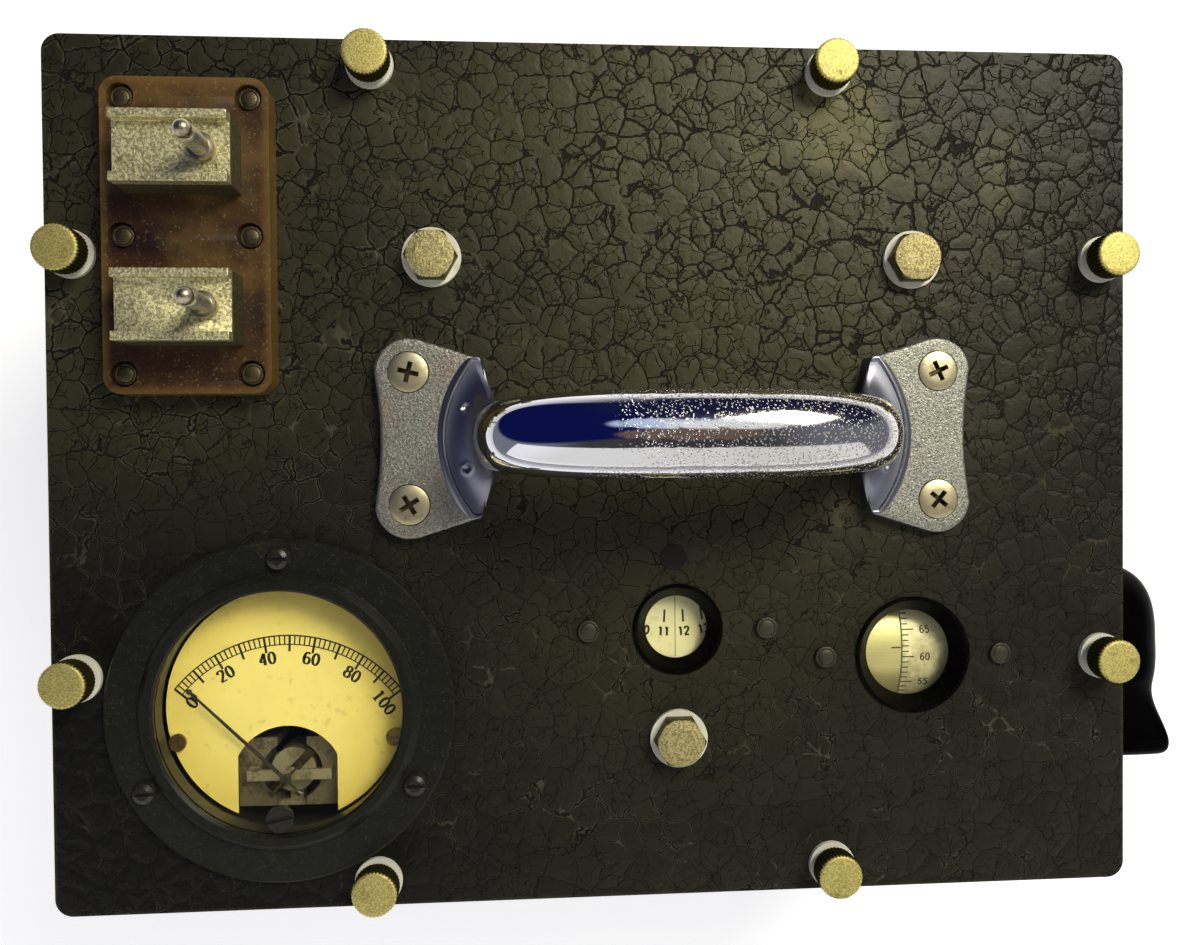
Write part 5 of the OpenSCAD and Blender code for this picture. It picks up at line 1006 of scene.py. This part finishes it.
COPPER = metal("copper_wire", (206, 142, 96), (140, 84, 52), 0.32, soil_size=180.0)
SOLDER_COPPER = metal("tinned_wire", (196, 172, 140), (128, 96, 66), 0.36, soil_size=150.0)
BEZEL = coated("bezel_enamel", (4, 4, 4), (8, 8, 7), 0.34, soil_size=140.0, relief_size=600.0,
               depth=0.00003, specks=0.05, gloss=0.05)
WINDOW_GLASS = glass("window_glass", (250, 250, 240))
METER_GLASS = glass("meter_glass", (250, 249, 238))
DARK_RIVET = metal("blackened_rivet", (70, 67, 52), (44, 42, 32), 0.5, soil=0.5, soil_size=300.0,
                   grain_size=1700.0, depth=0.00006, shine=0.6)
PLUG_BLACK = coated("filled_hole", (24, 23, 17), (44, 42, 31), 0.5, soil_size=260.0, relief_size=800.0,
                    depth=0.00005, gloss=0.2)
METER_BLACK = coated("meter_black", (25, 26, 20), (36, 36, 28), 0.34, soil_size=90.0, relief_size=900.0,
                     depth=0.00003, specks=0.1, gloss=0.25)
METER_SCREW = coated("blacked_screw", (26, 25, 21), (70, 66, 50), 0.34, soil=0.6, soil_size=420.0,
                     relief_size=1500.0, depth=0.00003, gloss=0.5)
SCALE = paper("scale_card", (METER[0] - 2, METER[1] + 1, SCALE_Z), 33.0, (238, 226, 140), (226, 208, 112),
              (120, 92, 38))
SMALL_BRASS = metal("small_brass", (178, 156, 98), (118, 98, 56), 0.36, soil_size=400.0,
                    grain_size=2200.0)
POINTER = coated("pointer_black", (40, 37, 28), (84, 76, 56), 0.35, soil_size=300.0, coat=0.2)
COIL_WIRE = metal("coil_wire", (112, 96, 70), (72, 60, 42), 0.4, grain="streak", stretch=(1, 1, 8.0),
                  grain_size=900.0, depth=0.00006)
IRON = metal("soft_iron", (196, 190, 164), (136, 130, 106), 0.42, shine=0.6, soil_size=240.0,
             grain="turned", centre=(*PIVOT, 0), grain_size=1800.0)
POLE_IRON = metal("pole_iron", (160, 152, 124), (104, 98, 78), 0.4, shine=0.7, soil_size=200.0,
                  grain="streak", stretch=(3.0, 0.4, 1))
MAGNET_RED = coated("magnet_red", (118, 44, 36), (70, 30, 24), 0.5, soil_size=80.0, specks=0.2)
BRIDGE = metal("bridge_brass", (196, 188, 156), (130, 122, 92), 0.36, shine=0.7, soil_size=260.0,
               grain="streak", stretch=(0.3, 3.0, 1))
MOULDED = coated("meter_case_resin", (26, 25, 22), (40, 38, 31), 0.38, soil_size=70.0, specks=0.15)
TERMINAL_BRASS = metal("terminal_brass", (190, 166, 96), (120, 98, 54), 0.34, soil_size=180.0,
                       grain="streak", stretch=(0.5, 0.5, 3.0))
COUPLE = coated("couple_body", (150, 124, 84), (104, 82, 52), 0.5, soil_size=200.0)
POST = metal("post_steel", (182, 178, 166), (130, 118, 92), 0.34, **DRAWN)
PILLAR = metal("pillar_steel", (178, 176, 168), (120, 112, 92), 0.36, grain="streak",
               stretch=(0.4, 0.4, 2.4))
UPPER_PLATE = metal("upper_plate", (196, 196, 190), (150, 146, 132), 0.38, grain="streak",
                    stretch=(0.15, 3.0, 1), soil_size=30.0)
LOWER_PLATE = metal("lower_plate", (190, 190, 184), (142, 138, 124), 0.4, grain="streak",
                    stretch=(3.0, 0.15, 1), soil_size=26.0)
NUT = metal("steel_nut", (186, 180, 162), (124, 106, 76), 0.36, soil_size=220.0, grain_size=1500.0)
STATOR = metal("stator_sheet", (206, 206, 202), (158, 154, 142), 0.32, grain="streak",
               stretch=(0.2, 2.6, 1), soil_size=24.0)
ROTOR_SHEET = metal("rotor_sheet", (210, 209, 203), (160, 155, 140), 0.32, soil_size=24.0, **TURNED)
ROD = metal("rod_brass", (198, 176, 110), (132, 112, 66), 0.34, **DRAWN)
CERAMIC = coated("glazed_ceramic", (226, 220, 200), (196, 182, 150), 0.2, soil=0.6, soil_size=80.0,
                 relief_size=200.0, depth=0.00005, coat=0.7, specks=0.1)
BEARING = metal("bearing_brass", (206, 180, 104), (140, 116, 62), 0.3, **TURNED)
LOWER_BEARING = metal("lower_bearing_brass", (200, 174, 100), (134, 110, 60), 0.32, soil_size=60.0,
                      **TURNED)
WHEEL = metal("wheel_brass", (212, 182, 100), (146, 118, 60), 0.3, soil_size=50.0, **TURNED)
SHAFT = metal("ground_shaft", (190, 190, 190), (140, 136, 126), 0.22, **TURNED)
DRIVE_SHAFT = metal("drive_shaft", (188, 188, 188), (138, 134, 124), 0.22, grain="streak",
                    stretch=(4.0, 0.3, 0.3))
COLLAR = metal("collar_brass", (196, 172, 104), (132, 110, 62), 0.32, **TURNED)
WORM = metal("worm_steel", (184, 184, 184), (128, 124, 112), 0.2, grain="streak", stretch=(4.0, 0.6, 0.6))
WORM_BEARING = metal("worm_bearing_brass", (202, 176, 102), (138, 114, 62), 0.34, grain_size=1100.0)
BUSHING = metal("bushing_brass", (204, 176, 98), (140, 114, 60), 0.3, grain="streak",
                stretch=(3.0, 0.5, 0.5))
SILVER_SLEEVE = metal("silvered_sleeve", (222, 216, 164), (176, 168, 118), 0.42, grain="streak", shine=0.6,
                      stretch=(0.12, 3.4, 3.4), grain_size=500.0, soil=0.64, soil_size=70.0)
SILVER_DRUM = metal("silvered_drum", (240, 236, 204), (196, 190, 154), 0.44, grain="streak", shine=0.3,
                    stretch=(0.12, 3.4, 3.4), grain_size=1000.0, soil_size=70.0)
CREAM = paper("cream_dial", (*ROTOR, DIAL_TOP), 60.0, (246, 245, 212), (236, 233, 194),
              (140, 124, 84))
BLACK_RESIN = coated("black_resin", (4, 4, 5), (7, 7, 10), 0.2, soil=0.6, soil_size=50.0,
                     relief_size=120.0, depth=0.00003, specks=0.01, gloss=0.004)
SET_SCREW = metal("set_screw", (96, 94, 88), (52, 50, 44), 0.36, soil_size=300.0)
INK = coated("scale_ink", (17, 15, 9), (34, 30, 18), 0.6, soil=0.58, soil_size=500.0)
DIAL_INK = coated("dial_ink", (26, 24, 17), (48, 44, 30), 0.6, soil=0.56, soil_size=500.0)
DRUM_INK = coated("drum_ink", (38, 34, 22), (66, 60, 40), 0.55, soil=0.54, soil_size=600.0)

NODE_FINISH = {
    "case": CASE_FINISH, "feet": RUBBER, "foot_screws": DULL_STEEL, "panel": PANEL_FINISH,
    "panel_thumbscrews": NICKEL, "thumbscrew_washers": FIBRE, "handle": GRIP_CHROME,
    "handle_screws": ZINC, "handle_nuts": NUT, "condenser_bolts": BOLT, "condenser_washers": FIBRE,
    "terminal_plate": BROWN, "terminal_rivets": RIVET, "coil_blocks": AGED_NICKEL, "coil_plugs": PLUG,
    "coil_block_nuts": TERMINAL_BRASS, "stator_lead": COPPER, "rotor_lead": SOLDER_COPPER,
    "window_bezels": BEZEL, "window_glasses": WINDOW_GLASS, "window_rivets": DARK_RIVET,
    "panel_plug": PLUG_BLACK, "meter_front": METER_BLACK, "meter_glass": METER_GLASS,
    "meter_screws": METER_SCREW, "meter_scale_plate": SCALE, "meter_scale_screws": SMALL_BRASS,
    "meter_pointer": POINTER, "meter_coil": COIL_WIRE, "meter_core": IRON,
    "meter_pole_pieces": POLE_IRON, "meter_magnet": MAGNET_RED, "meter_bridge": BRIDGE,
    "meter_case": MOULDED, "meter_terminals": TERMINAL_BRASS, "thermocouple": COUPLE,
    "zero_corrector": METER_SCREW, "panel_posts": POST, "top_end_plate": UPPER_PLATE,
    "frame_pillars": PILLAR, "bottom_end_plate": LOWER_PLATE, "pillar_nuts": NUT,
    "stator_plates": STATOR, "stator_rods": ROD, "insulators": CERAMIC, "upper_bearing": BEARING,
    "lower_bearing": LOWER_BEARING, "rotor_shaft": SHAFT, "rotor_plates": ROTOR_SHEET,
    "rotor_collars": COLLAR, "worm_wheel": WHEEL, "main_dial": CREAM, "worm": WORM,
    "worm_shaft": DRIVE_SHAFT, "worm_bearings": WORM_BEARING, "index_sleeve": SILVER_SLEEVE,
    "graduated_drum": SILVER_DRUM, "wall_bushing": BUSHING, "crank_knob": BLACK_RESIN,
    "crank_set_screw": SET_SCREW,
}
for name, surface in NODE_FINISH.items():
    for place in nodes[name].material_slots:
        place.material = surface

# Pieces
piece("handle_grip", skin(handle_grip()), GRIP_CHROME, hides=["handle"])
COUNTERSINK = [(2.3, -5.0), (2.3, -2.4), (5.06, 0.0), (5.06, 3.0)]
for side, name in ((-1, "handle_flange_left"), (1, "handle_flange_right")):
    foot = piece(name, flange(side), CAST_CHROME)
    holes = [turned(COUNTERSINK, (HANDLE[0] + side * HANDLE_SCREW[0], HANDLE[1] + y * HANDLE_SCREW[1],
                                  TOP_Z + FLANGE_T), 64) for y in (-1, 1)]
    cut_away(foot, holes)

crank = piece("crank_arm", skin(crank_rings()), BLACK_RESIN, "drive", ["crank_knob"])
cut_away(crank, [turned([(1.7, 10.0), (1.7, 24.0)], (SET_SCREW_X, *DRIVE), 32)])

heads = joined([part for x, y in THUMBSCREWS for part in knurled_head((x, y, TOP_Z + WASHER_T))])
piece("knurled_thumbscrews", heads, NICKEL, hides=["panel_thumbscrews"], crease=50)

screws = []
for (x, y), angle in zip(((-1, 1), (-1, -1), (1, 1), (1, -1)), (-14, 32, 24, -40)):
    seat = (HANDLE[0] + x * HANDLE_SCREW[0], HANDLE[1] + y * HANDLE_SCREW[1], TOP_Z + FLANGE_T)
    profile = [(2.1, -12.4), (2.1, -2.5), (4.8, 0.0), (4.75, 0.16), (4.0, 0.42), (2.4, 0.53), (0.3, 0.55)]
    screws.append((turned(profile, seat, 64), cross_cutter(seat, angle)))
heads = piece("handle_screw_heads", joined([head for head, _ in screws]), ZINC,
              hides=["handle_screws"])
cut_away(heads, [cross for _, cross in screws])
window_places = [(MAIN_WINDOW[0] + x * MAIN_RIVET_DX, MAIN_WINDOW[1]) for x in (-1, 1)] + \
    [(DRUM_LEFT + x * DRUM_RIVET_DX, DRIVE[0]) for x in (-1, 1)]
piece("window_rivet_heads", rivet_heads(window_places, 2.7, -5.4, 0.0, 1.3), DARK_RIVET,
      hides=["window_rivets"])
plate_places = [(PLATE[0] + x * PLATE_RIVETS[0], PLATE[1] + y * PLATE_RIVETS[1])
                for x in (-1, 1) for y in (-1, 0, 1)]
piece("terminal_rivet_heads", rivet_heads(plate_places, 2.6, -5.8, 4.4, 5.7), RIVET,
      hides=["terminal_rivets"])
piece("coil_plug_pins", plug_pins(), PLUG, hides=["coil_plugs"])
tip = (PIVOT[0] + NEEDLE_REACH * math.cos(math.radians(NEEDLE_ANGLE)),
       PIVOT[1] + NEEDLE_REACH * math.sin(math.radians(NEEDLE_ANGLE)), NEEDLE_Z)
bead = [(0.72 * math.sin(a), -0.45 * math.cos(a)) for a in np.linspace(0, math.pi, 13)]
piece("pointer_bead", turned(bead, tip, 32), POINTER, "needle")

piece("main_dial_marks", main_dial_marks(), DIAL_INK, "rotor")
piece("drum_marks", drum_marks(), DRUM_INK, "drive")
piece("meter_marks", meter_marks(), INK)
hairline = [(points + (*MAIN_WINDOW, GLASS_LOW - 0.05), faces)
            for points, faces in line((0, -7.7), (0, 7.7), 0.16)]
piece("window_hairline", joined(hairline), DIAL_INK)
index = wrapped(line((-2.6, 0), (-0.1, 0), 0.34), DRUM_LEFT - 0.4, 1.2)
piece("sleeve_index", joined(index), DRUM_INK)

for name, surface, slot, width in (("panel", PANEL_FINISH, "panel_lacquer", 0.7),
                                   ("terminal_plate", BROWN, "brown_bakelite", 0.9),
                                   ("coil_blocks", AGED_NICKEL, "aged_nickel", 0.35)):
    softened(name, surface, width)

# Floor, lamps and camera
floor_mesh = bpy.data.meshes.new("floor")
floor_mesh.from_pydata([(-6, -6, 0), (6, -6, 0), (6, 6, 0), (-6, 6, 0)], [], [(0, 1, 2, 3)])
floor = placed_in_scene("floor", floor_mesh)
pale = bpy.data.materials.new("pale_floor")
t = emptied(pale)
seen = t.add("ShaderNodeLightPath").outputs
shown = t.math("MAXIMUM", seen["Is Camera Ray"],
               t.math("MAXIMUM", seen["Is Glossy Ray"], seen["Is Transmission Ray"]))
glow = t.add("ShaderNodeEmission", {"Color": (1, 1, 1, 1), "Strength": t.times(shown, 0.62)})
matt = t.add("ShaderNodeBsdfDiffuse", {"Color": (0.8, 0.8, 0.8, 1)})
both = t.add("ShaderNodeAddShader", {0: glow.outputs[0], 1: matt.outputs[0]})
t.add("ShaderNodeOutputMaterial", {"Surface": both.outputs[0]})
floor.data.materials.append(pale)

# What the room shows to polished metal: where each patch lies, how far it reaches, and its colour
ROOM = (((0.9, 0.0, 0.42), 0.62, 0.9, (0.19, 0.2, 0.24)),
        ((-0.9, -0.1, 0.42), 0.62, 0.9, (0.2, 0.21, 0.26)),
        ((-0.44, 0.45, 0.64), 0.62, 0.7, (0.004, 0.007, 0.075)),
        ((0.5, 0.8, 0.36), 0.7, 0.9, (0.01, 0.012, 0.05)),
        ((0.12, -0.02, 1.0), 0.972, 0.984, (0.17, 0.12, 0.095)),
        ((0.07, 0.36, 0.9), 0.974, 0.99, (0.6, 0.72, 0.95)),
        ((0.22, 0.3, 0.86), 0.978, 0.992, (0.95, 0.98, 1.0)))

world = bpy.data.worlds.new("studio")
bpy.context.scene.world = world
t = emptied(world)
way = t.add("ShaderNodeTexCoord").outputs["Generated"]
up = t.parts(way)[2]
sky = t.mix(t.span(up, 0.0, 0.32), (0.5, 0.5, 0.53, 1), (0.05, 0.05, 0.056, 1))
for aim, far, near, colour in ROOM:
    share = t.span(t.vector("DOT_PRODUCT", way, Vector(aim).normalized()), far, near)
    sky = t.mix(share, sky, (*colour, 1))
light = t.add("ShaderNodeBackground", {"Color": sky, "Strength": 1.0}).outputs[0]
t.add("ShaderNodeOutputWorld", {"Surface": light})


def lamp(name, place, target, size, power, colour):
    """A soft square lamp that looks at a place."""
    light = bpy.data.lights.new(name, "AREA")
    light.shape = "RECTANGLE"
    light.size, light.size_y = size
    light.energy = power
    light.color = colour
    made = placed_in_scene(name, light)
    made.location = place
    made.rotation_euler = (Vector(target) - Vector(place)).to_track_quat("-Z", "Y").to_euler()


lamp("key", (0.42, 0.5, 0.85), (0.02, 0.0, 0.14), (0.38, 0.38), 8.4, (1.0, 0.95, 0.8))
lamp("front_fill", (0.0, -0.95, 0.82), (0.0, 0.0, 0.16), (3.8, 1.1), 11.0, (1.0, 0.985, 0.95))

camera_data = bpy.data.cameras.new("camera")
camera_data.sensor_fit = "HORIZONTAL"
camera_data.sensor_width = 36.0
camera_data.lens = 29.3556
camera_data.clip_start = 0.01
camera_data.clip_end = 50.0
camera = placed_in_scene("camera", camera_data)
TURN = [Matrix.Rotation(angle, 3, axis) for angle, axis in
        ((0.00936403721, "Z"), (0.0674768662, "Y"), (0.015704174, "X"))]
look = (TURN[0] @ TURN[1] @ TURN[2]).transposed()
camera.matrix_world = Matrix.Translation((-0.032749, 0.003898, 0.380307)) @ look.to_4x4()
bpy.context.scene.camera = camera
bpy.context.scene.view_settings.view_transform = "Standard"
